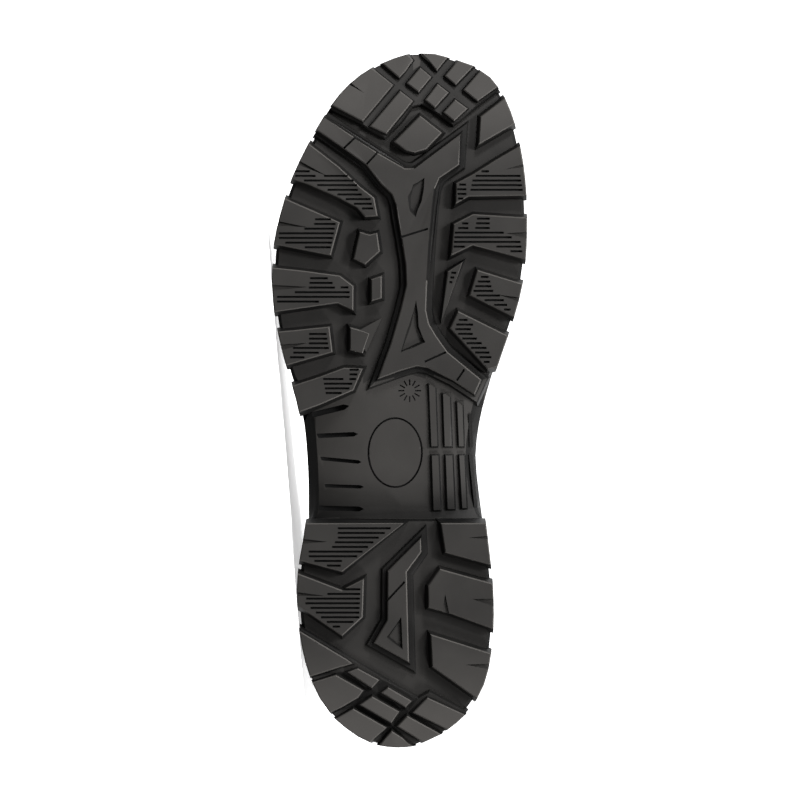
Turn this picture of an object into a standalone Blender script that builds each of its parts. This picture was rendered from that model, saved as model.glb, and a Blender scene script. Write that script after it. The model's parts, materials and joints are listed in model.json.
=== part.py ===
"""Tactical boot for the right foot, empty and laced, lying on its lateral side.

Lengths are millimetres until an object is made. A point of the sole is given by its station, the distance
forward from the back of the heel, and its offset from the centre line, medial positive and lateral negative.
Heights are above the floor that the boot would stand on.
"""

import math

import bmesh
import bpy
from mathutils import Matrix, Vector
from mathutils.bvhtree import BVHTree

MM = 0.001
GAP = 0.3

# Sole: depths are measured from the tread, insets from the plain wall of the sole
LUG_DEPTH, ROOT_DEPTH = 5.0, 2.0
LUG_PROUD = 1.2
LUG_EDGE = 0.5
LUG_DRAFT = math.tan(math.radians(15.0))
SIDE_LUG_RISE, SIDE_LUG_FADE = 13.0, 3.0
PAD_DEPTH, PAD_MARGIN, PAD_RIM_INSET = 2.4, 0.9, 0.4
ISLAND_DEPTH = 0.6
LEDGE_DEPTH, LEDGE_WIDTH = 3.4, 2.6
BAR_HEIGHT, BAR_EDGE = 1.6, 0.4
EDGE_STEP, EDGE_GRAIN = 7.0, 0.5
EDGE_ROUND = 1.4
WAIST_FLARE, WAIST_START, WAIST_END = 3.2, 99.0, 163.0
RIM_HEIGHT, RIM_GROOVE_WIDTH, RIM_GROOVE_DEPTH = 5.4, 0.8, 1.0

# Upper, tongue and insole; a row is a place along the upper's sections, a share a part of the way round one
HEM_INSET, HEM_GAP = 3.0, 0.45
WALL = 2.4
EYESTAY_STEP, EYESTAY_WIDTH, EYESTAY_ROW = 1.2, 0.19, 6.2
COLLAR_STEP, COLLAR_BAND_ROW, COLLAR_ROW = 1.6, 21.2, 22.0
THROAT_ROW, THROAT_ROUND, THROAT_HALF = 6.5, 0.9, 15.0
TONGUE_ROWS, TONGUE_LAP, TONGUE_THICKNESS, TONGUE_GAP = (5.6, 22.7), 0.1, 3.5, 0.9
INSOLE_THICKNESS, INSOLE_CLEARANCE = 3.6, 3.2
ANKLE_ROWS, RELAX_ROUNDS = (13.2, 18.2), 4

# Lacing
EYELET_PAIRS, EYELET_ROWS, EYELET_MARGIN = 8, (7.5, 21.6), 0.085
EYELET_HOLE, EYELET_RADIUS, EYELET_HEIGHT, EYELET_SEAT, EYELET_SIDES = 2.4, 4.3, 1.0, 0.7, 10
LACE_HALF_WIDTH, LACE_HALF_HEIGHT, LACE_SIDES, LACE_PIECES = 2.2, 1.1, 8, 8
LACE_SAG, LACE_END, LACE_CLEARANCE = 0.6, 0.0, 0.7

# Roughly where the whole boot balances: station, offset, height
BALANCE_POINT = (135.0, 0.0, 70.0)

# Wall of the sole: station, lateral offset, medial offset
SOLE_SECTIONS = (
    (1.7, -8.0, 6.5),
    (3.2, -13.5, 11.5),
    (6.8, -20.0, 18.6),
    (13.5, -27.8, 27.3),
    (21.5, -33.6, 33.2),
    (31.0, -38.0, 37.5),
    (42.0, -41.2, 39.5),
    (56.0, -43.2, 40.6),
    (70.0, -43.8, 40.3),
    (84.0, -42.4, 38.8),
    (98.0, -40.0, 37.2),
    (112.0, -40.0, 35.3),
    (128.0, -40.6, 33.9),
    (142.0, -41.9, 35.4),
    (156.0, -45.0, 38.8),
    (170.0, -49.2, 43.0),
    (186.0, -52.9, 48.6),
    (204.0, -54.8, 53.3),
    (220.0, -54.0, 55.0),
    (236.0, -50.6, 55.2),
    (250.0, -46.0, 54.4),
    (264.0, -39.4, 52.3),
    (276.0, -32.8, 49.4),
    (286.0, -26.0, 45.4),
    (293.5, -19.0, 40.5),
    (299.0, -10.5, 32.8),
    (302.0, -2.8, 24.5),
    (303.5, 4.5, 15.5),
)

# Heights along the sole: station, height
TREAD_LINE = ((0, 3.2), (8, 1.0), (16, 0.1), (24, 0), (226, 0), (244, 0.8), (262, 3.2), (280, 7.4), (304, 15.0))
FLOOR_LIFT = ((99.2, 0), (100.2, 4.6), (112, 4.2), (128, 3.0), (144, 1.2), (158, 0), (164, 0))
FEATHER_LINE = ((0, 30.5), (40, 30), (75, 29), (105, 27), (140, 23.6), (175, 21), (205, 20.2), (235, 20.9),
                (262, 23.4), (284, 27.6), (304, 32.5))

# Tread forms as corners of (station, offset). Pads, side lugs, edge blocks and spine run from their first to
# their last corner along the edge of the sole; the others close on themselves
TOE_PAD = ((281.5, -30.0), (275.0, -16.0), (272.5, -13.0), (269.0, -6.5), (276.0, 0.5), (282.5, 5.2),
           (284.0, 10.0), (280.3, 16.5), (274.6, 23.8), (278.5, 28.5), (283.2, 34.3), (290.6, 44.2))
HEEL_PAD = ((51.6, -43.4), (38.6, -22.4), (35.6, -17.4), (26.4, -2.0), (20.6, 8.4), (23.4, 13.4), (14.4, 29.4))

SIDE_LUGS = {
    "lateral_1": ((249.6, -46.8), (247.3, -40.0), (241.6, -27.0), (237.0, -18.4), (232.9, -14.9), (233.3, -9.4),
                  (241.4, -10.9), (246.2, -17.0), (255.3, -26.7), (265.5, -39.3)),
    "lateral_2": ((220.7, -54.2), (217.9, -40.0), (216.0, -30.0), (230.6, -26.0), (235.3, -36.7), (241.4, -50.0)),
    "lateral_3": ((191.2, -54.2), (195.1, -27.0), (191.8, -20.1), (202.6, -20.0), (207.2, -26.0), (209.5, -43.4),
                  (211.0, -55.4)),
    "lateral_4": ((167.6, -49.3), (173.5, -29.2), (184.8, -30.6), (182.4, -53.6)),
    "lateral_5": ((147.2, -43.2), (150.3, -35.0), (156.8, -20.0), (166.3, -15.9), (166.7, -24.1), (162.7, -35.0),
                  (158.7, -46.6)),
    "medial_1": ((285.9, 47.4), (277.4, 35.8), (264.9, 35.0), (274.2, 51.5)),
    "medial_2": ((264.3, 53.8), (258.4, 42.9), (251.9, 32.7), (247.8, 25.0), (238.6, 24.8), (241.9, 30.6),
                 (242.5, 55.2)),
    "medial_3": ((232.6, 56.1), (234.2, 32.5), (229.8, 24.0), (215.9, 22.8), (220.5, 32.4), (214.4, 55.2)),
    "medial_4": ((203.4, 54.0), (209.7, 34.4), (198.6, 31.0), (188.9, 50.4)),
    "medial_5": ((180.9, 47.1), (191.6, 26.0), (184.0, 22.4), (165.9, 39.0), (167.4, 42.1)),
    "heel_lateral_1": ((81.9, -42.8), (76.9, -25.0), (98.4, 2.2), (98.4, -40.4)),
    "heel_lateral_2": ((62.3, -44.4), (48.7, -25.0), (57.0, -16.0), (74.0, -15.4), (69.0, -25.2), (76.5, -44.4)),
    "heel_medial_1": ((98.4, 37.4), (98.4, 18.3), (85.4, 20.2), (79.9, 40.2)),
    "heel_medial_2": ((72.0, 41.2), (78.3, 18.0), (71.0, 12.8), (61.2, 12.8), (58.6, 22.5), (51.7, 41.6)),
    "heel_medial_3": ((41.2, 40.0), (49.6, 13.8), (35.2, 14.5), (21.2, 34.4)),
}

CENTRE_BLOCKS = {
    "toe_block_5": ((277.9, 9.2), (270.2, 18.9), (263.0, 12.0), (261.4, 7.0), (262.3, 3.2), (266.2, -2.2)),
    "pocket_pad_1": ((226.5, -17.3), (225.2, -13.0), (226.0, -9.6), (217.8, -8.4), (212.0, -14.9), (214.6, -20.0)),
    "pocket_pad_2": ((205.6, -12.3), (207.2, -7.6), (197.2, -7.6), (195.8, -12.3)),
    "pocket_pad_3": ((184.6, -21.6), (182.9, -15.6), (181.8, -12.8), (173.0, -15.9), (174.5, -21.6)),
    "medial_4_inner": ((208.9, 21.4), (213.2, 28.0), (186.6, 18.5)),
}

PAD_EDGE_BLOCKS = {
    "toe_1": ((301.4, -7.6), (294.7, 0.1), (301.7, 6.3), (304.4, 3.8)),
    "toe_2": ((304.6, 9.5), (298.0, 16.7), (303.7, 21.9)),
    "toe_3": ((302.6, 25.7), (295.7, 20.2), (291.6, 25.0), (299.9, 33.0)),
    "toe_4": ((298.1, 36.1), (289.4, 28.4), (284.3, 34.6), (291.1, 43.7)),
    "toe_5": ((282.3, -29.2), (275.2, -16.0), (291.6, -2.5), (299.5, -12.1)),
    "heel_lateral_3": ((30.8, -38.8), (34.6, -27.4), (36.6, -20.4), (38.4, -22.8), (51.4, -43.2)),
    "heel_back_1": ((14.8, -30.3), (17.4, -25.2), (21.6, -18.0), (24.8, -15.6), (31.6, -27.7), (28.3, -37.9)),
    "heel_back_2": ((2.6, -12.4), (8.4, -5.4), (16.8, -20.1), (11.9, -28.3)),
    "heel_back_3": ((1.2, 6.4), (7.0, -3.2), (1.3, -8.8)),
    "heel_back_4": ((5.2, 18.4), (13.7, 3.6), (9.0, -0.8), (2.3, 10.8)),
    "heel_back_5": ((14.1, 28.8), (21.7, 12.5), (15.1, 6.0), (7.0, 21.6)),
}

PAD_BLOCKS = {
    "toe_block_1": ((299.5, 9.3), (295.2, 14.3), (288.3, 8.7), (292.4, 3.4)),
    "toe_block_2": ((292.1, 17.0), (288.2, 21.9), (281.3, 15.8), (284.9, 11.5)),
    "toe_block_3": ((285.1, 24.7), (281.0, 30.2), (275.4, 24.3), (279.3, 19.6)),
    "toe_block_4": ((289.0, 0.4), (284.4, 6.2), (269.7, -5.6), (273.1, -12.8)),
    "heel_block_1": ((32.8, -22.6), (34.6, -18.2), (29.4, -8.6), (25.8, -12.0)),
    "heel_block_2": ((18.5, -17.2), (22.2, -11.8), (15.5, 0.1), (10.4, -3.4)),
    "heel_block_3": ((23.8, -7.8), (26.2, -4.8), (20.2, 5.6), (17.4, 2.8)),
}

SPINE = ((277.0, -31.8), (268.0, -19.4), (261.2, -9.2), (254.4, 2.6), (254.6, 6.6), (269.9, 27.4), (256.0, 26.4),
         (250.1, 17.8), (245.4, 15.8), (237.0, 14.7), (220.5, 13.3), (205.0, 12.4), (192.0, 11.9), (186.0, 13.2),
         (180.6, 16.4), (173.6, 21.4), (161.4, 36.2), (154.8, 33.2), (161.2, 23.4), (166.6, 12.6), (167.4, 8.0),
         (165.4, 1.0), (161.6, -9.4), (177.4, -3.6), (192.0, 0.6), (203.0, 3.2), (212.0, 2.8), (222.5, 1.2),
         (231.0, -0.4), (238.2, -1.4), (243.0, -3.2), (247.6, -8.0), (255.9, -14.4), (263.3, -24.6), (270.9, -35.6))
HEEL_ISLAND = ((91.8, 9.6), (77.2, -5.0), (55.8, -5.2), (45.7, -11.0), (37.0, 4.4), (76.8, 3.4), (85.6, 9.8))

# Medial bars of the waist: front and rear stations, then their two offsets at the front and at the rear
WAIST_BARS = (
    (159.6, 131.7, 12.8, 16.3, 13.9, 17.3),
    (155.6, 131.7, 19.0, 22.7, 19.8, 23.6),
    (151.8, 131.7, 25.3, 28.3, 26.1, 28.9),
    (128.4, 103.6, 14.1, 17.7, 14.9, 18.6),
    (128.4, 104.0, 20.2, 23.9, 21.1, 24.9),
    (128.4, 104.4, 26.2, 29.1, 27.6, 30.2),
)

# Sections of the upper, from the toe back over the instep and up the shaft: station and height of the ridge,
# station of the hem, its lift off the sole, 1 on the edge of the sole or 0 on the back seam, then the reach of
# the ridge's shoulder, the bulge of the side past the hem and how far up the section that bulge sits
UPPER_SECTIONS = (
    (300.2, 32.0, 288.0, 0, 1, 13, 0.0, 0.55),
    (300.8, 42.0, 284.0, 0, 1, 15, 1.2, 0.55),
    (296.0, 53.0, 278.0, 0, 1, 19, 2.0, 0.58),
    (287.0, 60.5, 270.0, 0, 1, 23, 2.5, 0.60),
    (274.0, 66.0, 259.0, 0, 1, 27, 2.5, 0.62),
    (256.0, 71.0, 243.0, 0, 1, 30, 2.0, 0.62),
    (232.0, 77.0, 222.0, 0, 1, 31, 1.5, 0.60),
    (208.0, 84.5, 200.0, 0, 1, 31, 1.5, 0.55),
    (184.0, 94.0, 174.0, 0, 1, 31, 2.0, 0.50),
    (163.0, 105.0, 145.0, 0, 1, 31, 3.0, 0.44),
    (147.0, 117.5, 115.0, 0, 1, 31, 4.0, 0.38),
    (135.5, 131.0, 85.0, 0, 1, 32, 5.0, 0.30),
    (128.0, 145.0, 55.0, 0, 1, 35, 9.0, 0.22),
    (124.5, 155.0, 28.0, 0, 1, 38, 15.5, 0.14),
    (122.0, 164.0, 12.0, 0, 1, 42, 26.5, 0.07),
    (120.2, 171.5, 5.2, 0, 1, 45.5, 42.5, 0.02),
    (119.9, 173.0, 4.9, 0, 0, 47, 50.5, 0.0),
    (118.4, 181.0, 3.6, 24, 0, 48, 50.5, 0.0),
    (117.3, 188.0, 5.4, 52, 0, 49, 50.0, 0.0),
    (116.5, 194.0, 10.0, 82, 0, 50, 50.5, 0.0),
    (115.8, 199.5, 11.4, 118, 0, 51, 51.5, 0.0),
    (115.2, 206.0, 8.6, 160, 0, 53, 54.0, 0.0),
    (114.4, 230.0, 5.0, 197, 0, 55, 56.0, 0.0),
    (114.0, 244.0, 4.0, 211, 0, 55, 56.0, 0.0),
)
RIDGE_OFFSET = ((0, 0), (120, 0), (180, 1.0), (230, 4.0), (265, 7.5), (301, 10.0))

RUBBER = ("black_rubber", (0.055, 0.053, 0.052), 0.75, 0.0)
LEATHER = ("black_leather", (0.030, 0.029, 0.028), 0.55, 0.0)
LINING = ("black_textile", (0.040, 0.040, 0.042), 0.90, 0.0)
FOOTBED = ("grey_footbed", (0.120, 0.120, 0.125), 0.95, 0.0)
CORD = ("black_lace", (0.025, 0.025, 0.026), 0.85, 0.0)
EYELET_METAL = ("black_eyelet", (0.050, 0.050, 0.052), 0.40, 1.0)


def clear_scene():
    for old in list(bpy.data.objects):
        bpy.data.objects.remove(old, do_unlink=True)


def make_material(name, colour, roughness, metallic):
    material = bpy.data.materials.get(name)
    if material is None:
        material = bpy.data.materials.new(name)
        material.use_nodes = True
        shader = material.node_tree.nodes["Principled BSDF"]
        shader.inputs["Base Color"].default_value = (*colour, 1.0)
        shader.inputs["Roughness"].default_value = roughness
        shader.inputs["Metallic"].default_value = metallic
    return material


def make_object(name, bm, material):
    """Object of a mesh in millimetres, with its faces turned out."""
    bmesh.ops.scale(bm, vec=(MM, MM, MM), verts=bm.verts)
    bmesh.ops.recalc_face_normals(bm, faces=bm.faces)
    mesh = bpy.data.meshes.new(name)
    bm.to_mesh(mesh)
    bm.free()
    mesh.materials.append(make_material(*material))
    obj = bpy.data.objects.new(name, mesh)
    bpy.context.scene.collection.objects.link(obj)
    return obj


def interpolate(rows, x):
    """Values at x, on a smooth curve through rows that are sorted by their first column."""
    if x <= rows[0][0]:
        return list(rows[0][1:])
    if x >= rows[-1][0]:
        return list(rows[-1][1:])
    i = next(k for k in range(len(rows) - 1) if rows[k + 1][0] >= x)
    span = rows[i + 1][0] - rows[i][0]
    u = (x - rows[i][0]) / span
    values = []
    for column in range(1, len(rows[0])):
        slopes = [slope(rows, k, column) * span for k in (i, i + 1)]
        a, b = rows[i][column], rows[i + 1][column]
        values.append((1 + 2 * u) * (1 - u) ** 2 * a + u * (1 - u) ** 2 * slopes[0]
                      + u * u * (3 - 2 * u) * b + u * u * (u - 1) * slopes[1])
    return values


def slope(rows, k, column):
    """Tangent at row k; it is level where the values turn, so the curve never overshoots a row."""
    if k == 0 or k == len(rows) - 1:
        j = min(max(k, 1), len(rows) - 1)
        return (rows[j][column] - rows[j - 1][column]) / (rows[j][0] - rows[j - 1][0])
    before = (rows[k][column] - rows[k - 1][column]) / (rows[k][0] - rows[k - 1][0])
    after = (rows[k + 1][column] - rows[k][column]) / (rows[k + 1][0] - rows[k][0])
    if before * after <= 0:
        return 0.0
    return 2 * before * after / (before + after)


def tread_height(station):
    return interpolate(TREAD_LINE, station)[0]


def floor_height(station):
    """Height of the ground between the lugs, higher under the arch."""
    return tread_height(station) + LUG_DEPTH + interpolate(FLOOR_LIFT, station)[0]


def feather_height(station):
    return interpolate(FEATHER_LINE, station)[0]


def waist_flare(station):
    """How far the lower edge of the sole draws in at the waist."""
    u = (station - WAIST_START) / (WAIST_END - WAIST_START)
    if not 0 < u < 1:
        return 0.0
    return WAIST_FLARE * min(1.0, 3.2 * math.sin(math.pi * u))


def sole_stations():
    """Stations of the sections, with one more in each long gap and a close pair at the heel breast."""
    stations = [row[0] for row in SOLE_SECTIONS]
    middles = [(a + b) / 2 for a, b in zip(stations, stations[1:]) if b - a > 9]
    breast = [FLOOR_LIFT[0][0], FLOOR_LIFT[1][0]]
    return sorted(stations + middles + breast)


def sole_loop():
    """Wall of the sole seen from above: the medial side from heel to toe, then the lateral side back."""
    stations = sole_stations()
    sides = [interpolate(SOLE_SECTIONS, station) for station in stations]
    medial = [Vector((s, pair[1])) for s, pair in zip(stations, sides)]
    lateral = [Vector((s, pair[0])) for s, pair in zip(stations, sides)]
    return medial + lateral[::-1]


def offset_polygon(corners, distances):
    """Polygon with each edge moved out by its own distance; edge k runs from corner k to the next."""
    count = len(corners)
    area = sum(corners[k - 1].cross(corners[k]) for k in range(count))
    turn = 1.0 if area > 0 else -1.0
    normals = []
    for k in range(count):
        along = (corners[(k + 1) % count] - corners[k]).normalized()
        normals.append(Vector((along.y, -along.x)) * turn)
    moved = []
    for k in range(count):
        a, b = normals[k - 1], normals[k]
        da, db = distances[k - 1], distances[k]
        cross = a.cross(b)
        if abs(da - db) > 1e-6 and abs(cross) > 0.2:
            shift = Vector((da * b.y - db * a.y, db * a.x - da * b.x)) / cross
        else:
            shift = (a + b) * (da + db) / 2 / max(1.0 + a.dot(b), 0.35)
        moved.append(corners[k] + shift)
    return moved


def inset_loop(loop, inset):
    """The sole's loop moved in by a function of the station."""
    return offset_polygon(loop, [-inset(point.x) for point in loop])


def add_layers(bm, layers):
    """Skin the stacked loops of points to one another and return their vertices."""
    rings = [[bm.verts.new(point) for point in layer] for layer in layers]
    for low, high in zip(rings, rings[1:]):
        for k in range(len(low)):
            bm.faces.new((low[k - 1], low[k], high[k], high[k - 1]))
    return rings


def close_across(bm, ring):
    """Close a loop of the sole with strips that run from side to side."""
    half = len(ring) // 2
    for k in range(half - 1):
        bm.faces.new((ring[k], ring[k + 1], ring[-2 - k], ring[-1 - k]))


def raised(points, height):
    return [Vector((point.x, point.y, height(point.x))) for point in points]


def make_sole_body():
    """The sole without its tread: a wall with a grooved rim, an arched floor and the seat of the upper."""
    loop = sole_loop()
    rim = RIM_GROOVE_WIDTH
    levels = (
        (lambda s: EDGE_ROUND + waist_flare(s), floor_height),
        (lambda s: 0.9 * waist_flare(s), lambda s: floor_height(s) + EDGE_ROUND),
        (lambda s: 0, lambda s: max(floor_height(s) + 2 * EDGE_ROUND, feather_height(s) - RIM_HEIGHT - 4 * rim)),
        (lambda s: 0, lambda s: feather_height(s) - RIM_HEIGHT),
        (lambda s: RIM_GROOVE_DEPTH, lambda s: feather_height(s) - RIM_HEIGHT + rim),
        (lambda s: 0, lambda s: feather_height(s) - RIM_HEIGHT + 2 * rim),
        (lambda s: 0, lambda s: feather_height(s) - rim),
        (lambda s: rim, feather_height),
    )
    bm = bmesh.new()
    rings = add_layers(bm, [raised(inset_loop(loop, inset), height) for inset, height in levels])
    close_across(bm, rings[0])
    close_across(bm, rings[-1])
    return make_object("outsole", bm, RUBBER)


def lug_envelope():
    """Fine points along the line that the lugs reach at the sole's edge."""
    loop = inset_loop(sole_loop(), lambda s: -LUG_PROUD)
    points = []
    for a, b in zip(loop, loop[1:] + loop[:1]):
        pieces = max(1, round((b - a).length / EDGE_GRAIN))
        points += [a.lerp(b, (k + 0.5) / pieces) for k in range(pieces)]
    return points


def edge_run(envelope, start, end):
    """Points of the lugs' outer line from the one nearest to start round to the one nearest to end."""
    count = len(envelope)
    first = min(range(count), key=lambda k: (envelope[k] - start).length)
    last = min(range(count), key=lambda k: (envelope[k] - end).length)
    step = 1 if (last - first) % count <= count // 2 else -1
    steps = (last - first) * step % count
    pieces = max(1, round(steps * EDGE_GRAIN / EDGE_STEP))
    return [envelope[(first + step * round(steps * k / pieces)) % count] for k in range(pieces + 1)]


def edge_corners(envelope, corners):
    """Corners of a form that ends at the sole's edge: the inner ones, then that stretch of the edge."""
    points = [Vector(corner) for corner in corners]
    inner = points[1:-1]
    return inner + edge_run(envelope, points[-1], points[0]), len(inner)


def add_form(bm, corners, rim_from, top, root, grow, rim_inset):
    """Drafted tread form with a chamfered top; top and root are depths below the tread.

    Edges from corner rim_from on follow the sole's edge and climb its side, and the other edges are moved out
    by grow.
    """
    count = len(corners)
    on_rim = [rim_from <= k < count - 1 for k in range(count)]

    def level(inner, outer, depth):
        points = offset_polygon(corners, [outer - rim_inset if rim else inner + grow for rim in on_rim])
        return raised(points, lambda s: tread_height(s) + depth)

    draft = (root - top) * LUG_DRAFT
    layers = [level(-LUG_EDGE, -LUG_EDGE, top), level(0.0, 0.0, top + LUG_EDGE), level(draft, 0.0, root)]
    if any(on_rim):
        layers.append(level(draft, -SIDE_LUG_FADE, SIDE_LUG_RISE))
    rings = add_layers(bm, layers)
    bm.faces.new(rings[0])
    bm.faces.new(rings[-1])


def make_tread(name, edge_forms, inner_forms):
    """Guide object that holds separate tread forms, each given as corners, top, root, grow and rim inset."""
    envelope = lug_envelope()
    bm = bmesh.new()
    for corners, *sizes in edge_forms:
        add_form(bm, *edge_corners(envelope, corners), *sizes)
    for corners, *sizes in inner_forms:
        add_form(bm, [Vector(corner) for corner in corners], len(corners), *sizes)
    return make_guide(make_object(name, bm, RUBBER))


def make_bars():
    bm = bmesh.new()
    for front, rear, front_in, front_out, rear_in, rear_out in WAIST_BARS:
        corners = [Vector((front, front_in)), Vector((front, front_out)), Vector((rear, rear_out)),
                   Vector((rear, rear_in))]
        layers = []
        for out, rise in ((-BAR_EDGE, BAR_HEIGHT), (0.0, BAR_HEIGHT - BAR_EDGE), (BAR_EDGE, -1.0)):
            points = offset_polygon(corners, [out] * len(corners))
            layers.append(raised(points, lambda s, rise=rise: floor_height(s) - rise))
        rings = add_layers(bm, layers)
        bm.faces.new(rings[0])
        bm.faces.new(rings[-1])
    return make_guide(make_object("waist_bars", bm, RUBBER))


def make_guide(obj):
    obj.hide_render = True
    obj.display_type = "WIRE"
    return obj


def unite(obj, tool):
    modifier = obj.modifiers.new(tool.name, "BOOLEAN")
    modifier.operation = "UNION"
    modifier.solver = "EXACT"
    modifier.object = tool


def make_outsole():
    """The sole's body joined first with what is low in the tread, then with what stands on the ground."""
    root = LUG_DEPTH + ROOT_DEPTH
    pad_root = PAD_DEPTH + 1.0
    pads = [(corners, PAD_DEPTH, root, PAD_MARGIN, PAD_RIM_INSET) for corners in (TOE_PAD, HEEL_PAD)]
    edge_ledges = [(SPINE, LEDGE_DEPTH, root, LEDGE_WIDTH, PAD_RIM_INSET)]
    inner_ledges = [(HEEL_ISLAND, LEDGE_DEPTH, root, LEDGE_WIDTH, 0.0)]
    high_edge = [(corners, 0.0, root, 0.0, 0.0) for corners in SIDE_LUGS.values()]
    high_edge += [(corners, 0.0, pad_root, 0.0, 0.0) for corners in PAD_EDGE_BLOCKS.values()]
    high_edge.append((SPINE, ISLAND_DEPTH, LEDGE_DEPTH + 1.0, 0.0, 0.0))
    high_inner = [(corners, 0.0, root, 0.0, 0.0) for corners in CENTRE_BLOCKS.values()]
    high_inner += [(corners, 0.0, pad_root, 0.0, 0.0) for corners in PAD_BLOCKS.values()]
    high_inner.append((HEEL_ISLAND, ISLAND_DEPTH, LEDGE_DEPTH + 1.0, 0.0, 0.0))
    sole = make_sole_body()
    tools = [make_tread("pads", pads, []), make_tread("ledges", edge_ledges, inner_ledges),
             make_tread("lugs", high_edge, high_inner), make_bars()]
    for tool in tools:
        unite(sole, tool)
    return [sole] + tools


def make_hem_line(inset):
    """Sections of the sole's outline moved in: station, lateral offset, medial offset."""
    loop = inset_loop(sole_loop(), lambda s: inset)
    pairs = zip(loop, loop[::-1][:len(loop) // 2])
    return [((medial.x + lateral.x) / 2, lateral.y, medial.y) for medial, lateral in pairs]


def section_at(row):
    """Values of the upper's section at a row, which may lie between two rows of the table."""
    return interpolate([(k, *values) for k, values in enumerate(UPPER_SECTIONS)], row)


def upper_point(row, across):
    """Outer face of the upper; across runs from -1 at the lateral hem over the ridge to 1 at the medial one."""
    ridge_s, ridge_z, hem_s, lift, on_edge, shoulder, bulge, rise = section_at(row)
    side = 1 if across >= 0 else -1
    u, v = abs(across), 1 - abs(across)
    hem_o = interpolate(HEM_LINE, hem_s)[1 if side > 0 else 0] * on_edge
    ridge = Vector((ridge_s, interpolate(RIDGE_OFFSET, ridge_s)[0], ridge_z))
    hem = Vector((hem_s, hem_o, feather_height(hem_s) + HEM_GAP + lift))
    ridge.z = max(ridge.z, feather_height(ridge_s) + HEM_GAP)
    out = Vector((0, side, 0))
    shoulder_point = ridge + out * shoulder
    side_point = hem + out * bulge + Vector((ridge.x - hem.x, 0, ridge.z - hem.z)) * rise
    return v ** 3 * ridge + 3 * v * v * u * shoulder_point + 3 * v * u * u * side_point + u ** 3 * hem


def upper_normal(row, across):
    step = 0.01
    low, high = max(row - step, 0.0), min(row + step, len(UPPER_SECTIONS) - 1.0)
    along = upper_point(high, across) - upper_point(low, across)
    over = upper_point(row, min(across + step, 0.999)) - upper_point(row, max(across - step, -0.999))
    return over.cross(along).normalized()


def off_upper(row, across, distance):
    """Point at a distance outside the upper's face, or inside it where that is negative."""
    return upper_point(row, across) + upper_normal(row, across) * distance


def throat_across(row):
    """Where the facing ends beside the throat; 0 in front of the throat."""
    if row <= THROAT_ROW:
        return 0.0
    opening = min(1.0, math.sqrt((row - THROAT_ROW) / THROAT_ROUND))
    return opening * THROAT_HALF / (3.0 * section_at(row)[5])


def upper_step(row, share):
    """How far the eyestay and the collar stand off the wall."""
    if row > COLLAR_BAND_ROW:
        return COLLAR_STEP
    if row > EYESTAY_ROW and share < EYESTAY_WIDTH:
        return EYESTAY_STEP
    return 0.0


def upper_rows():
    """Rows of the upper's mesh, with a close pair at each step of its wall."""
    steps = [EYESTAY_ROW - 0.01, EYESTAY_ROW + 0.01, COLLAR_BAND_ROW - 0.03, COLLAR_BAND_ROW + 0.03]
    rows = [k / 2 for k in range(int(COLLAR_ROW * 2) + 1)]
    rows = [row for row in rows if min(abs(row - step) for step in steps) > 0.12]
    return sorted(rows + steps + [THROAT_ROW + 0.2])


def skin(bm, lines):
    """Skin neighbouring lines of points and merge what meets."""
    rows = [[bm.verts.new(point) for point in line] for line in lines]
    for first, second in zip(rows, rows[1:]):
        for k in range(len(first) - 1):
            bm.faces.new((first[k], first[k + 1], second[k + 1], second[k]))
    bmesh.ops.remove_doubles(bm, verts=bm.verts, dist=0.05)


def relax(lines, rows, columns):
    """Ease the points of some rows and columns towards the rows on either side."""
    for _ in range(RELAX_ROUNDS):
        for i in rows:
            for j in columns:
                lines[i][j] = lines[i][j].lerp((lines[i - 1][j] + lines[i + 1][j]) / 2, 0.5)


def make_upper():
    """One wall, open below, at the throat and at the collar."""
    edge = EYESTAY_WIDTH
    shares = (0.0, 0.5 * edge, edge - 0.008, edge + 0.008, 0.34, 0.5, 0.64, 0.77, 0.89, 1.0)
    bm = bmesh.new()
    for side in (-1, 1):
        lines = []
        for row in upper_rows():
            start = throat_across(row)
            spots = [(side * (start + (1 - start) * share), upper_step(row, share)) for share in shares]
            lines.append([off_upper(row, across, step) for across, step in spots])
        ankle = [k for k, row in enumerate(upper_rows()) if ANKLE_ROWS[0] < row < ANKLE_ROWS[1]]
        relax(lines, ankle, [k for k, share in enumerate(shares) if edge + 0.1 < share < 1.0])
        skin(bm, lines)
    thicken(bm, WALL)
    for vertex in bm.verts:
        vertex.co.z = max(vertex.co.z, feather_height(vertex.co.x) + HEM_GAP)
    return make_object("upper", bm, LEATHER)


def make_tongue():
    """Sheet under the facings, from inside the vamp to just above the collar."""
    spots = [k / 3 for k in range(-3, 4)]
    depth = WALL + TONGUE_GAP
    lines = []
    for row in [TONGUE_ROWS[0] + (TONGUE_ROWS[1] - TONGUE_ROWS[0]) * k / 20 for k in range(21)]:
        reach = TONGUE_LAP + throat_across(max(row, THROAT_ROW + THROAT_ROUND))
        lines.append([off_upper(row, reach * spot, -depth) for spot in spots])
    bm = bmesh.new()
    skin(bm, lines)
    thicken(bm, TONGUE_THICKNESS)
    return make_object("tongue", bm, LINING)


def thicken(bm, thickness):
    """Wall of even thickness on the inner side of a sheet, whose faces are turned to look out of the boot."""
    bmesh.ops.recalc_face_normals(bm, faces=bm.faces)
    middle = Vector((BALANCE_POINT[0] / 2, 0, BALANCE_POINT[2]))
    outward = sum(face.normal.dot(face.calc_center_median() - middle) * face.calc_area() for face in bm.faces)
    bmesh.ops.solidify(bm, geom=bm.faces, thickness=thickness if outward > 0 else -thickness)


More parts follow.
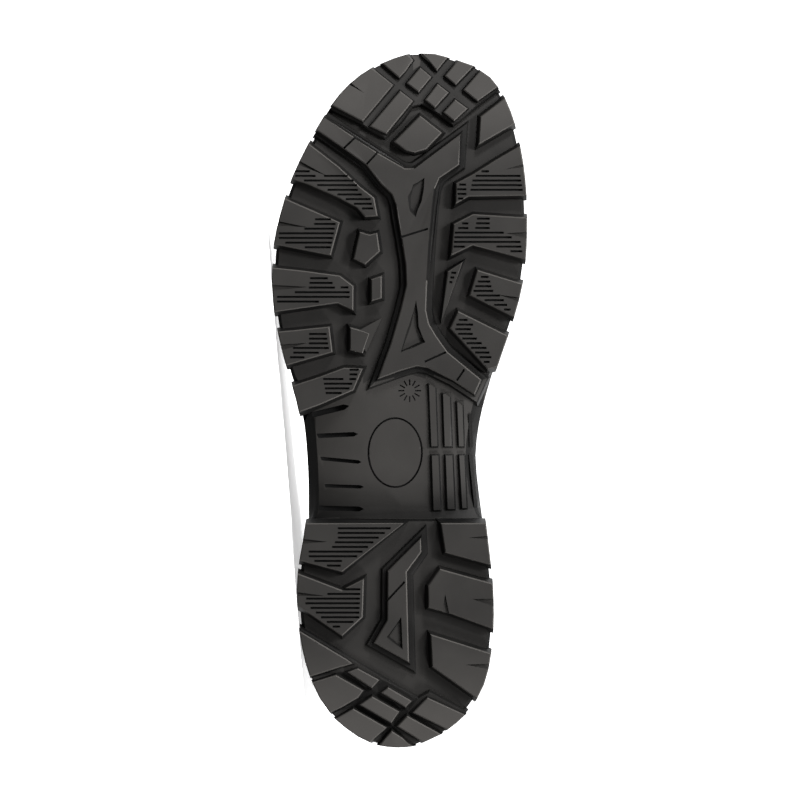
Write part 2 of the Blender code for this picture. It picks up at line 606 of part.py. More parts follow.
def make_insole():
    loop = sole_loop()
    inset = HEM_INSET + WALL + INSOLE_CLEARANCE
    layers = []
    for extra, rise in ((0.0, GAP), (0.0, INSOLE_THICKNESS - 0.5), (0.8, INSOLE_THICKNESS + GAP)):
        points = inset_loop(loop, lambda s, extra=extra: inset + extra)
        layers.append(raised(points, lambda s, rise=rise: feather_height(s) + rise))
    bm = bmesh.new()
    rings = add_layers(bm, layers)
    close_across(bm, rings[0])
    close_across(bm, rings[-1])
    return make_object("insole", bm, FOOTBED)


def eyelet_spots():
    """Row and place across of each pair of eyelets, evenly spaced along the facings."""
    first, last = EYELET_ROWS
    fine = [first + (last - first) * k / 400 for k in range(401)]
    places = [throat_across(row) + EYELET_MARGIN for row in fine]
    points = [upper_point(row, place) for row, place in zip(fine, places)]
    lengths = [0.0]
    for a, b in zip(points, points[1:]):
        lengths.append(lengths[-1] + (b - a).length)
    spots = []
    for pair in range(EYELET_PAIRS):
        wanted = lengths[-1] * pair / (EYELET_PAIRS - 1)
        k = min(range(len(fine)), key=lambda i: abs(lengths[i] - wanted))
        spots.append((fine[k], places[k]))
    return spots


def make_eyelet(name, row, across):
    """Ring on the eyestay, turned about the face's normal."""
    normal = upper_normal(row, across)
    centre = off_upper(row, across, EYESTAY_STEP + EYELET_SEAT)
    side = (upper_point(row + 0.1, across) - upper_point(row - 0.1, across)).normalized()
    other = normal.cross(side)
    profile = ((EYELET_HOLE, 0.0), (EYELET_RADIUS, 0.0), (EYELET_RADIUS - 0.7, EYELET_HEIGHT),
               (EYELET_HOLE + 0.2, EYELET_HEIGHT))
    bm = bmesh.new()
    rings = []
    for k in range(EYELET_SIDES):
        angle = 2 * math.pi * k / EYELET_SIDES
        spoke = side * math.cos(angle) + other * math.sin(angle)
        rings.append([bm.verts.new(centre + spoke * radius + normal * height) for radius, height in profile])
    for k in range(EYELET_SIDES):
        for j in range(len(profile)):
            bm.faces.new((rings[k - 1][j - 1], rings[k - 1][j], rings[k][j], rings[k][j - 1]))
    return make_object(name, bm, EYELET_METAL)


def make_lace_bar(name, row, across):
    """Bar from eyelet to eyelet: over both rings and facing edges, then nearly straight across the tongue."""
    over_eyelet = EYESTAY_STEP + EYELET_SEAT + EYELET_HEIGHT + LACE_CLEARANCE + LACE_HALF_HEIGHT
    edge = throat_across(row)
    heights = ((0.0, LACE_SAG), (0.6 * edge, LACE_SAG + 1.0), (edge, over_eyelet - 0.7), (across, over_eyelet))
    end = across + LACE_END
    along = (upper_point(row + 0.05, 0.0) - upper_point(row - 0.05, 0.0)).normalized()
    layers = []
    for k in range(LACE_PIECES + 1):
        place = end * (2 * k / LACE_PIECES - 1)
        normal = upper_normal(row, place)
        centre = off_upper(row, place, interpolate(heights, abs(place))[0])
        ring = []
        for j in range(LACE_SIDES):
            angle = 2 * math.pi * (j + 0.5) / LACE_SIDES
            ring.append(centre + along * LACE_HALF_WIDTH * math.cos(angle)
                        + normal * LACE_HALF_HEIGHT * math.sin(angle))
        layers.append(ring)
    bm = bmesh.new()
    rings = add_layers(bm, layers)
    bm.faces.new(rings[0])
    bm.faces.new(rings[-1])
    return make_object(name, bm, CORD)


def make_lacing():
    pieces = []
    for number, (row, across) in enumerate(eyelet_spots(), 1):
        pieces.append(make_eyelet(f"eyelet_lateral_{number}", row, -across))
        pieces.append(make_eyelet(f"eyelet_medial_{number}", row, across))
        pieces.append(make_lace_bar(f"lace_bar_{number}", row, across))
    return pieces


def resting_matrix(pieces):
    """Turn and move the boot so that it lies on the face of its hull that is beside its balance point."""
    points = [vertex.co.copy() for piece in pieces for vertex in piece.data.vertices]
    bm = bmesh.new()
    for point in points:
        bm.verts.new(point)
    bmesh.ops.convex_hull(bm, input=bm.verts)
    hull = BVHTree.FromBMesh(bm)
    down = hull.ray_cast(Vector(BALANCE_POINT) * MM, Vector((0, -1, 0)))[1]
    bm.free()
    if down.y > 0:
        down = -down
    up = -down
    collar = Vector((0, 0, 1))
    collar = (collar - collar.dot(up) * up).normalized()
    turn = Matrix((collar.cross(up), collar, up))
    turned = [turn @ point for point in points]
    low = Vector([min(point[axis] for point in turned) for axis in range(3)])
    high = Vector([max(point[axis] for point in turned) for axis in range(3)])
    middle = (low + high) / 2
    return Matrix.Translation((-middle.x, -middle.y, -low.z)) @ turn.to_4x4()


def main():
    clear_scene()
    pieces = make_outsole() + [make_upper(), make_tongue(), make_insole()] + make_lacing()
    frame = bpy.data.objects.new("boot_frame", None)
    bpy.context.scene.collection.objects.link(frame)
    frame.matrix_world = resting_matrix(pieces)
    for piece in pieces:
        piece.parent = frame


HEM_LINE = make_hem_line(HEM_INSET)
main()
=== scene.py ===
import json
import math

import bmesh
import bpy
from mathutils import Matrix, Vector
from mathutils.bvhtree import BVHTree


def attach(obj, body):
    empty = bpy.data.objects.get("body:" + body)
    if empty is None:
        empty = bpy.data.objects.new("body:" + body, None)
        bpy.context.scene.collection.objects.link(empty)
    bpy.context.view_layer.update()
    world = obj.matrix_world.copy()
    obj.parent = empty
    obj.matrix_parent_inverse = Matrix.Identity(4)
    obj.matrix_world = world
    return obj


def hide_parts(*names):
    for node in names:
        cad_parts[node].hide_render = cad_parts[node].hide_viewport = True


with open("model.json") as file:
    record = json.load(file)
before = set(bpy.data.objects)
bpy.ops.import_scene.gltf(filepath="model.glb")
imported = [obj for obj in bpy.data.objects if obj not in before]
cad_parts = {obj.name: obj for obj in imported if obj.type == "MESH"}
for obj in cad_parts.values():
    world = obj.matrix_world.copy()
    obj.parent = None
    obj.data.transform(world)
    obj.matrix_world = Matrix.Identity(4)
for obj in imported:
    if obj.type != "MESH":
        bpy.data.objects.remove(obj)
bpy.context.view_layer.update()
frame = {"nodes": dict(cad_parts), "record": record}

MM = 0.001
# The boot's own frame, in millimetres, has a station along the foot from the heel's back, an offset to the
# medial side and a height above the tread. Station and offset of the two mounts on the tread
FOREFOOT_SPOT, HEEL_SPOT = (201.0, -40.0), (65.0, 28.0)
# Distances below which points are one, in millimetres: of CAD meshes, of fine rings and of sheets
CAD_MERGE, FINE_MERGE, MERGE = 0.01, 0.001, 0.05

# Camera: the photograph shows 351.6 mm across at the tread
PICTURE_WIDTH, CAMERA_DISTANCE = 351.6, 2500.0
PICTURE_CENTRE, CAMERA_CLIP = (152.5, 0.44), (0.01, 50.0)

# Studio: strength of the room, glow of floor and backdrop, their half size and the backdrop's distance in
# metres, the overhead sun's strength, spread in degrees and way, then soft boxes with their place, aim and
# size in metres and power in watts
ROOM_LIGHT, FLOOR_GLOW, BACKDROP_GLOW, STAGE_HALF, BACKDROP_AWAY = 0.19, 0.5, 1.0, 9.0, 5.0
OVERHEAD_LIGHT, OVERHEAD_SPREAD, OVERHEAD_WAY = 3.0, 26.0, (0.1, 0.7, -1.0)
SOFT_BOXES = (
    ("key", (-0.235, -0.685, 0.775), (-0.02, -0.12, 0.05), 0.12, 7.8),
    ("toe", (-1.5, -1.0, 0.7), (-0.1, -0.12, 0.05), 0.3, 32.0),
    ("heel", (1.4, -0.9, 0.6), (0.1, -0.12, 0.05), 0.3, 25.0),
)

# Fine tread, in millimetres. The tools that cut it start below the tread
TOOL_BELOW, RAY_START = 2.0, -60.0
RIB_PITCH, RIB_WIDTH, RIB_DEPTH, RIB_MARGIN, RIB_SHORTEST = 2.05, 0.95, 1.5, 0.3, 1.5
SIPE_DEPTH, CUT_DEPTH = 1.1, 1.0
RECESS_DEPTH, RECESS_BELOW, RECESS_DRAFT = 1.5, 1.2, 0.8
# Rounded edges of the rubber, the angle in degrees from which an edge is rounded and kept sharp in shading,
# the one below which faces are one flat, and the weight of large flats in shading
EDGE_BEVEL, BEVEL_SEGMENTS, EDGE_ANGLE, FLAT_ANGLE, FLAT_WEIGHT = 0.3, 2, 32.0, 0.5, 100

# Height of the tread along the sole: station, height
TREAD_LINE = ((0, 3.2), (8, 1.0), (16, 0.1), (24, 0), (226, 0), (244, 0.8), (262, 3.2), (280, 7.4),
              (304, 15.0), (320, 20.0))
# Tone of the rubber from 0 to 1, and how each is told apart: painted shade makes the grooves black, the walls
# and ledges nearly so and the channels darker, which are also unworn; a painted sheen lightens the waist; the
# lug tops are worn grey, and their worn edges carry a painted highlight
RELIEF_GROOVE_SHADE, RELIEF_WALL_SHADE, RELIEF_CHANNEL_SHADE, RELIEF_LEDGE_SHADE = 0.0, 0.06, 0.24, 0.08
# Painted sheen on the waist, the worn lug tops, and a painted highlight on their worn edges
RELIEF_WAIST_SHEEN, RELIEF_TOP, RELIEF_EDGE_HIGHLIGHT = 0.48, 0.34, 1.0
FACING_DOWN, FACING_EDGE, WAIST_FACING, TOP_DEPTH, RECESS_LIMIT = 0.9, 0.3, 0.8, 1.0, 2.2
WAIST_ENDS, LEDGE_DEPTHS = (100.5, 163.0), (2.9, 4.3)
# The waist rolls up towards its edges: lateral and medial offset where the roll starts, its span and rise,
# the length over which it fades out towards the ball, how high above the tread its forms reach and how far
# past its end; then the grid and the offsets for slicing its floor
WAIST_ROLL = ((-14.0, 24.0, 3.6), (15.0, 18.0, 2.6))
ROLL_FADE, WAIST_CEILING, WAIST_SLACK = 14.0, 12.5, 0.5
WAIST_GRID, WAIST_SIDES = (5.0, 3.5), (-40.0, 36.0)
# Painted shade: the waist's tone falls off towards the heel and the lateral edge: place where that starts,
# span and drop
WAIST_SHADE_HEEL, WAIST_SHADE_EDGE = (130.0, 28.0, 0.36), (-12.0, 26.0, 0.06)
# Painted light: the lug tops are painted paler towards the toe's tip and the heel's back: station where it
# starts, span and gain
END_PAINTED_LIGHT = ((256.0, 30.0, 0.32), (46.0, -36.0, 0.4))
# Rounded ends of the sole: station past which it is eased, middle and half width of the curve, and its bulge
END_CURVES = ((3.2, -0.8, 9.5, -1.0), (300.5, 9.8, 14.0, 1.1))
END_SLICES = 8

# Ribbed fields of the lugs: station of the first groove, then corners of station and offset
RIB_FIELDS = (
    (253.1, ((254.2, -46), (253.6, -39.6), (250.4, -35.6), (252, -30), (252.4, -24), (248, -18.4),
             (244, -17.6), (242.2, -15.2), (241.8, -12.4), (236.6, -11), (236.6, -16.4), (243, -27.6),
             (248.2, -39), (250, -46))),
    (231.9, ((232.8, -37), (232.8, -31), (230.5, -27.4), (218.8, -29.8), (218.6, -37), (220.8, -47.4),
             (222.5, -53.2), (226.4, -53.2), (227.2, -44), (229, -37.8))),
    (206.0, ((207, -39.3), (206.6, -31.6), (203, -27.9), (200.8, -27.9), (200.8, -21.4), (196.6, -21.4),
             (196.6, -27), (195.2, -40), (194.6, -54), (198.8, -54), (200, -45), (201.4, -40))),
    (202.0, ((202.8, -26), (202.8, -22.4), (201.4, -21.6), (201.4, -26))),
    (181.5, ((182.4, -39.8), (182.4, -31.6), (174.6, -30.4), (173.6, -33.8), (171.6, -41.2), (170.4, -41.4),
             (170.4, -49), (173, -46.8), (175.6, -47), (176.4, -40))),
    (161.7, ((162.4, -33.8), (162.4, -24.4), (160.4, -23.6), (160.4, -20), (158, -20.8), (155, -25.8),
             (154.8, -32.4))),
    (165.8, ((166.4, -22), (166.4, -17.2), (161.2, -18.8), (161.2, -22.2))),
    (253.1, ((254, 37), (254, 39.8), (252, 40), (252, 53.6), (244.2, 54.8), (244.2, 31), (250, 32.2))),
    (247.2, ((248, 26.6), (248, 29.8), (242.6, 30), (240.8, 28.4), (240.8, 25.6), (245.6, 25.2))),
    (232.2, ((233, 34.2), (233, 40.2), (227, 40.2), (226.4, 46), (224.6, 48), (222.8, 53.6), (217.4, 54.6),
             (217.4, 50), (221.4, 38), (221.6, 31), (219, 28.4), (219, 23.6), (226.6, 24.2), (227.2, 33))),
    (230.1, ((230.8, 28), (230.8, 30.8), (227.4, 30.8), (227.4, 25.2))),
    (208.4, ((209.2, 22.8), (209.2, 25.8), (202, 22.8), (202, 21.4))),
    (206.6, ((207.4, 36.2), (207.4, 39.4), (203, 41), (201.2, 40.6), (199.6, 43), (197.4, 46), (195, 47),
             (193.6, 48.6), (191.8, 49.6), (191.8, 46.8), (197.6, 34.6), (199.8, 32.2), (203, 33.4))),
    (187.7, ((188.4, 26.4), (188.4, 29), (186.4, 33.2), (183.4, 31.8), (181, 33), (175, 39.2), (171.6, 41),
             (168.8, 40), (168.8, 37.4), (182.4, 24.8), (184.4, 24.2))),
    (96.1, ((97, -27.2), (97, -2.2), (92, -8.6), (83, -19), (82.6, -24.6), (79.2, -25.4), (79.2, -30.4),
            (81, -36), (83, -40), (87, -40), (87.4, -30), (90.4, -28.2), (91, -27.2))),
    (69.3, ((70, -22.2), (70, -16.6), (57, -17.2), (54.2, -20.6), (54.2, -24.8), (52.2, -26), (52.2, -28.6),
            (57, -34.6), (63.6, -42), (66, -40.6), (66.3, -33), (68, -30.8))),
)

# Wedge sipes from the outer edge of a lug inwards, and short notches: corners of station and offset
SIPES = (
    ((258.2, -44.5), (256.4, -45.5), (251.2, -32)),
    ((231.2, -53.5), (229.2, -54), (228.4, -40)),
    ((203.2, -57), (200.4, -57), (202.2, -40)),
    ((176.8, -53), (174, -53), (177.6, -40.4)),
    ((91.6, -43.5), (89.2, -43.5), (90.2, -31.5)),
    ((68.2, -46), (66.4, -46), (66.4, -32.6)),
    ((256.9, 57), (255.2, 57), (254, 46.8)),
    ((226.4, 58.5), (222.8, 58.5), (225.8, 46.8)),
    ((197.4, 54.5), (195, 54.5), (198.7, 44)),
    ((92.9, 40.5), (91.2, 40.5), (92, 30.6)),
    ((65.2, 43), (61.4, 43), (65, 32.3)),
    ((36.6, 40.5), (34, 40.5), (36.2, 29.2)),
    ((67.2, 20.3), (56.2, 22.6), (57.8, 18.7)),
    ((293.4, -22.4), (292, -22.4), (288, -15.4)),
)

# Shallow fields sunk into the spine and the heel's island, and cuts across them
RECESSES = (
    ((250.8, 11.4), (247.5, 6.2), (242, 4), (236, 4.8), (233.1, 7.4), (240, 10)),
    ((196.5, 7.5), (186, 4.6), (173.4, 0.8), (175.4, 6), (177.9, 11.6), (185, 8.6)),
    ((57.2, 1), (48.2, -5.4), (42.8, 1.6)),
)
CROSS_CUTS = (
    ((268.2, -19.2), (263.3, -24.3)), ((261.7, -9.3), (256.3, -14.2)), ((161, 25.4), (166, 28.8)),
    ((72.6, 2.5), (64.1, -5.4)), ((169.3, 11.3), (173.6, 20.7)), ((224.1, 0.8), (227.8, 12.7)),
)
CROSS_CUT_WIDTH = 0.9

# Arm of the rear block beside the spine, and the height of its root
BLOCK_ARM, BLOCK_ARM_ROOT = ((183.2, -17.4), (188.6, -7.6), (173.4, -14.6)), 6.0

# Transverse grooves of the waist's lateral half: outer and inner end, width and depth
WAIST_GROOVES = (
    ((145, -42), (149.4, -24.2), 2.4, 2.4),
    ((136.4, -41.5), (137.4, -20), 2.0, 1.8),
    ((127.2, -40), (125.2, -18), 1.6, 1.6),
    ((114.7, -34), (114.2, -17), 1.5, 1.6),
    ((104.8, -36), (104.4, -17.6), 2.2, 2.2),
)
# Slim outer bars of the waist's medial half: front and rear station, then their offsets there
WAIST_SLIM_BARS = ((146.5, 131.7, 30.8, 31.2), (128.4, 105.4, 30.9, 33.3))
SLIM_BAR_WIDTH, SLIM_BAR_HEIGHT, SLIM_BAR_ROOT = 1.4, 0.9, 2.0
# Slanted front ends of its three broad bars: front station, inner and outer offset; then the slant's length,
# how far ahead the floor is read, the tool's margin and its heights off the floor
WAIST_BAR_FRONTS = ((159.6, 12.8, 16.3), (155.6, 19.0, 22.7), (151.8, 25.3, 28.3))
BAR_SLANT, BAR_AHEAD, BAR_MARGIN, BAR_HEIGHTS = 2.6, 2.0, 1.0, (-3.0, -0.1)
OVAL_CENTRE, OVAL_HALF, OVAL_RIM, OVAL_DEPTH = (129.3, -1.7), (14.8, 11.4), 0.8, 0.7
OVAL_SEGMENTS, OVAL_BELOW = 56, 1.0
DATE_RING_CENTRE, DATE_RING_RADII, DATE_RING_TICKS = (156.6, 4.7), (2.4, 5.0), 12
TICK_WIDTH, TICK_DEPTH = 0.6, 0.5

# The upper, in millimetres: wall, the steps of the eyestay and the collar band, and where they lie among the
# sections
WALL, EYESTAY_STEP, EYESTAY_SHARE, EYESTAY_ROW = 2.4, 1.2, 0.19, 6.2
COLLAR_STEP, COLLAR_BAND_ROW, COLLAR_ROW = 1.6, 21.2, 22.0
BACK_SEAM_ROW, BACK_SEAM_DEPTH = 16.0, 0.8
THROAT_ROW, THROAT_ROUND, THROAT_HALF = 6.5, 0.9, 15.0
TONGUE_ROWS, TONGUE_LAP, TONGUE_THICKNESS, TONGUE_GAP = (5.6, 22.7), 0.1, 3.5, 0.9
ANKLE_ROWS, RELAX_ROUNDS, RELAX_PULL = (13.2, 18.2), 4, 0.5
HEM_INSET, HEM_GAP = 3.0, 0.45
RIM_CREASE, STEP_CREASE, STEP_ANGLE = 0.55, 1.0, 35.0
# Rows of its mesh: distance of a close pair from the eyestay's and the collar's step, room that they need,
# and how far extra rows lie from the throat's end and the collar's edge; then its shares from facing to hem
EYESTAY_SPLIT, COLLAR_SPLIT, ROW_CLEAR, THROAT_EXTRA, COLLAR_EXTRA = 0.01, 0.03, 0.12, 0.2, 0.08
UPPER_SHARES = (0.0, 0.02, 0.5 * EYESTAY_SHARE, EYESTAY_SHARE - 0.008, EYESTAY_SHARE + 0.008, 0.265, 0.34,
                0.42, 0.5, 0.57, 0.64, 0.705, 0.77, 0.83, 0.89, 0.94, 0.97, 1.0)
ACROSS_LIMIT, NORMAL_STEP = 0.999, 0.01
# Steps of the tongue's mesh along it and across half of it
TONGUE_STEPS = (40, 6)
# Soft pieces: levels of subdivision and angle of smooth shading in degrees
UPPER_ROUNDING, TONGUE_ROUNDING, FOOTBED_ROUNDING, LACE_ROUNDING = (2, 50), (1, 60), (1, 60), (1, 70)
EYELET_ANGLE, STITCH_ANGLE = 60, 80
FOOTBED_JOIN, FOOTBED_RIM, FOOTBED_CREASE = (30, 60), 55, 0.75

# Sections of the upper, from the toe back over the instep and up the shaft: station and height of the ridge,
# station of the hem, its lift off the sole, 1 on the edge of the sole or 0 on the back seam, then the reach
# of the ridge's shoulder, the bulge of the side past the hem and how far up the section that bulge sits
UPPER_SECTIONS = (
    (300.2, 32.0, 288.0, 0, 1, 13, 0.0, 0.55),
    (300.8, 42.0, 284.0, 0, 1, 15, 1.2, 0.55),
    (296.0, 53.0, 278.0, 0, 1, 19, 2.0, 0.58),
    (287.0, 60.5, 270.0, 0, 1, 23, 2.5, 0.60),
    (274.0, 66.0, 259.0, 0, 1, 27, 2.5, 0.62),
    (256.0, 71.0, 243.0, 0, 1, 30, 2.0, 0.62),
    (232.0, 77.0, 222.0, 0, 1, 31, 1.5, 0.60),
    (208.0, 84.5, 200.0, 0, 1, 31, 1.5, 0.55),
    (184.0, 94.0, 174.0, 0, 1, 31, 2.0, 0.50),
    (163.0, 105.0, 145.0, 0, 1, 31, 3.0, 0.44),
    (147.0, 117.5, 115.0, 0, 1, 31, 4.0, 0.38),
    (135.5, 131.0, 85.0, 0, 1, 32, 5.0, 0.30),
    (128.0, 145.0, 55.0, 0, 1, 35, 9.0, 0.22),
    (124.5, 155.0, 28.0, 0, 1, 38, 15.5, 0.14),
    (122.0, 164.0, 12.0, 0, 1, 42, 26.5, 0.07),
    (120.2, 171.5, 5.2, 0, 1, 45.5, 42.5, 0.02),
    (119.9, 173.0, 4.9, 0, 0, 47, 50.5, 0.0),
    (118.4, 181.0, 3.6, 24, 0, 48, 50.5, 0.0),
    (117.3, 188.0, 5.4, 52, 0, 49, 50.0, 0.0),
    (116.5, 194.0, 10.0, 82, 0, 50, 50.5, 0.0),
    (115.8, 199.5, 11.4, 118, 0, 51, 51.5, 0.0),
    (115.2, 206.0, 8.6, 160, 0, 53, 54.0, 0.0),
    (114.4, 230.0, 5.0, 197, 0, 55, 56.0, 0.0),
    (114.0, 244.0, 4.0, 211, 0, 55, 56.0, 0.0),
)
RIDGE_OFFSET = ((0, 0), (120, 0), (180, 1.0), (230, 4.0), (265, 7.5), (301, 10.0))
# Wall of the sole: station, lateral offset, medial offset; then height of the sole under the hem
SOLE_SECTIONS = (
    (1.7, -8.0, 6.5), (3.2, -13.5, 11.5), (6.8, -20.0, 18.6), (13.5, -27.8, 27.3),
    (21.5, -33.6, 33.2), (31.0, -38.0, 37.5), (42.0, -41.2, 39.5), (56.0, -43.2, 40.6),
    (70.0, -43.8, 40.3), (84.0, -42.4, 38.8), (98.0, -40.0, 37.2), (112.0, -40.0, 35.3),
    (128.0, -40.6, 33.9), (142.0, -41.9, 35.4), (156.0, -45.0, 38.8), (170.0, -49.2, 43.0),
    (186.0, -52.9, 48.6), (204.0, -54.8, 53.3), (220.0, -54.0, 55.0), (236.0, -50.6, 55.2),
    (250.0, -46.0, 54.4), (264.0, -39.4, 52.3), (276.0, -32.8, 49.4), (286.0, -26.0, 45.4),
    (293.5, -19.0, 40.5), (299.0, -10.5, 32.8), (302.0, -2.8, 24.5), (303.5, 4.5, 15.5),
)
FEATHER_LINE = ((0, 30.5), (40, 30), (75, 29), (105, 27), (140, 23.6), (175, 21), (205, 20.2), (235, 20.9),
                (262, 23.4), (284, 27.6), (304, 32.5))

# Eyelets: pairs, first and last row among the sections, distance across from the facing's edge and how finely
# the facing is measured; then the ring with its segments
EYELET_PAIRS, EYELET_ROWS, EYELET_MARGIN, EYELET_STEPS = 8, (7.5, 21.6), 0.085, 400
EYELET_SEAT, EYELET_RING, EYELET_ROLL, EYELET_SEGMENTS = 1.9, 3.35, (0.95, 0.6), (10, 28)
# Steps among the rows that give the way along the facing
EYELET_WAY, LACE_WAY = 0.1, 0.05
# Lace: half width and height, height over the eyelets and the tongue, then how it lies between them: share of
# the facing's edge where it has risen, that rise and the dip at the edge; share of the way to the eyelet, and
# shares and heights where it sinks in
LACE_HALF_WIDTH, LACE_HALF_HEIGHT, LACE_OVER_EYELET, LACE_SAG = 2.2, 0.95, 4.6, 0.6
LACE_RISE_AT, LACE_RISE, LACE_DIP, LACE_REACH = 0.6, 1.0, 0.7, 0.86
LACE_SINK = ((0.94, 4.45), (0.985, 3.7), (1.0, 2.6), (1.0, 1.2))
LACE_STEPS, LACE_SIDES, LACE_SQUARE = 12, 12, 0.7
# Stitches: pitch and half sizes, shares and rows of their lines, the ends of these and the points along each
STITCH_PITCH, STITCH_SIZE = 3.2, (1.3, 0.45, 0.42)
EYESTAY_STITCHES, COLLAR_STITCHES, BACK_STITCHES = (0.172, 0.138), (21.28, 21.38), (0.975,)
FRONT_STITCHES, SEAM_START, SEAM_MARGIN, COLLAR_ENDS = (0.08, 0.18), 0.32, 0.1, (0.03, 0.97)
EYESTAY_POINTS, SEAM_POINTS, FRONT_POINTS = 200, 120, 40


def linear(hex_colour):
    """Linear colour with alpha from an sRGB hex value."""
    channels = [int(hex_colour[k:k + 2], 16) / 255 for k in (1, 3, 5)]
    return [c / 12.92 if c <= 0.04045 else ((c + 0.055) / 1.055) ** 2.4 for c in channels] + [1.0]


def set_inputs(material, node, inputs):
    """Set a node's inputs, each to a value or by a link from another node's socket."""
    for name, value in inputs.items():
        if isinstance(value, bpy.types.NodeSocket):
            material.node_tree.links.new(value, node.inputs[name])
        else:
            node.inputs[name].default_value = value


def add_node(material, kind, inputs=None, stops=(), **settings):
    """One node of a material, with its settings, inputs and, on a ramp, stops of position and colour."""
    made = material.node_tree.nodes.new(kind)
    for name, value in settings.items():
        setattr(made, name, value)
    for k, (position, colour) in enumerate(stops):
        stop = made.color_ramp.elements[k]
        stop.position, stop.color = position, linear(colour)
    set_inputs(material, made, inputs or {})
    return made


def start_material(name, shader_values):
    """Material with its Principled shader and the Object coordinates."""
    material = bpy.data.materials.new(name)
    material.use_nodes = True
    shader = material.node_tree.nodes["Principled BSDF"]
    set_inputs(material, shader, shader_values)
    place = add_node(material, "ShaderNodeTexCoord").outputs["Object"]
    return material, shader, place


def per_metre(millimetres):
    """Texture scale for a pattern of this size."""
    return 1.0 / (millimetres * MM)


def make_rubber():
    """Moulded carbon-black rubber: matt, with the fine grain of the spark-cut mould. Its tone follows the
    relief
    attribute: the faces that touch the ground are worn greyer than the channels, painted shade darkens the
    channels and turns the walls and grooves black, a painted sheen lightens the waist and a painted highlight
    the lugs' worn edges."""
    material, shader, place = start_material("moulded_black_rubber", {"Specular IOR Level": 0.16, "IOR": 1.5})
    relief = add_node(material, "ShaderNodeAttribute", attribute_name="relief", attribute_type="GEOMETRY")
    grain = add_node(material, "ShaderNodeTexNoise", {"Vector": place, "Scale": per_metre(0.7), "Detail": 3.0,
                                                      "Roughness": 0.6})
    bloom = add_node(material, "ShaderNodeTexNoise", {"Vector": place, "Scale": per_metre(26.0),
                                                      "Detail": 4.0, "Roughness": 0.55})
    uneven = add_node(material, "ShaderNodeMapRange", {"Value": bloom.outputs["Fac"], "From Min": 0.3,
                                                       "From Max": 0.7, "To Min": -0.06, "To Max": 0.06})
    # The relief attribute plus a little random mottle: painted shade, sheen and highlight with the worn tops
    painted_shade_and_wear = add_node(material, "ShaderNodeMath", {0: relief.outputs["Fac"], 1: uneven.outputs["Result"]})
    tone = add_node(material, "ShaderNodeValToRGB", {"Fac": painted_shade_and_wear.outputs[0]},
                    stops=((0.0, "#050505"), (1.0, "#403e3c")))
    gloss = add_node(material, "ShaderNodeMapRange", {"Value": painted_shade_and_wear.outputs[0], "To Min": 0.5,
                                                      "To Max": 0.66})
    bump = add_node(material, "ShaderNodeBump", {"Height": grain.outputs["Fac"], "Strength": 0.12,
                                                 "Distance": 0.2 * MM})
    set_inputs(material, shader, {"Base Color": tone.outputs["Color"], "Roughness": gloss.outputs["Result"],
                                  "Normal": bump.outputs["Normal"]})
    return material


def make_leather():
    """Full-grain cowhide, dyed black and waxed: pebbled grain with pores and a soft sheen. The pebbles are
    drawn somewhat coarse so that they show."""
    material, shader, place = start_material("waxed_black_leather", {"Specular IOR Level": 0.3, "IOR": 1.5})
    warp = add_node(material, "ShaderNodeTexNoise", {"Vector": place, "Scale": per_metre(4.0), "Detail": 2.0})
    bent = add_node(material, "ShaderNodeMix", {"Factor": 0.002, "A": place, "B": warp.outputs["Color"]},
                    data_type="VECTOR")
    pebble = add_node(material, "ShaderNodeTexVoronoi", {"Vector": bent.outputs["Result"], "Randomness": 0.95,
                                                         "Scale": per_metre(1.5)}, feature="DISTANCE_TO_EDGE")
    groove = add_node(material, "ShaderNodeMapRange", {"Value": pebble.outputs["Distance"], "From Min": 0.0,
                                                       "From Max": 0.3})
    crease = add_node(material, "ShaderNodeTexNoise", {"Vector": place, "Scale": per_metre(14.0),
                                                       "Detail": 7.0, "Roughness": 0.62})
    mixed = add_node(material, "ShaderNodeMix", {"Factor": 0.35, "A": groove.outputs["Result"],
                                                 "B": crease.outputs["Fac"]})
    height = mixed.outputs["Result"]
    tone = add_node(material, "ShaderNodeValToRGB", {"Fac": height},
                    stops=((0.15, "#0a0909"), (0.85, "#1f1d1c")))
    gloss = add_node(material, "ShaderNodeMapRange", {"Value": height, "To Min": 0.6, "To Max": 0.4})
    bump = add_node(material, "ShaderNodeBump", {"Height": height, "Strength": 0.45, "Distance": 0.4 * MM})
    set_inputs(material, shader, {"Base Color": tone.outputs["Color"], "Roughness": gloss.outputs["Result"],
                                  "Normal": bump.outputs["Normal"]})
    return material


def make_weave(name, dark, light, thread, roughness):
    """Woven synthetic cloth: crossed sets of threads, of a width in millimetres that is somewhat coarse so
    that they show."""
    material, shader, place = start_material(name, {"Roughness": roughness, "Sheen Weight": 0.25})
    sets = [add_node(material, "ShaderNodeTexWave", {"Vector": place, "Scale": per_metre(thread) / math.tau,
                                                     "Distortion": 0.4, "Detail": 1.0}, bands_direction=way)
            for way in ("X", "Y", "Z")]
    first = add_node(material, "ShaderNodeMath", {0: sets[0].outputs["Fac"], 1: sets[1].outputs["Fac"]},
                     operation="MAXIMUM")
    crossed = add_node(material, "ShaderNodeMath", {0: first.outputs[0], 1: sets[2].outputs["Fac"]},
                       operation="MULTIPLY")
    weave = crossed.outputs[0]
    tone = add_node(material, "ShaderNodeValToRGB", {"Fac": weave}, stops=((0.0, dark), (1.0, light)))
    bump = add_node(material, "ShaderNodeBump", {"Height": weave, "Strength": 0.6, "Distance": 0.3 * MM})
    set_inputs(material, shader, {"Base Color": tone.outputs["Color"], "Normal": bump.outputs["Normal"]})
    return material


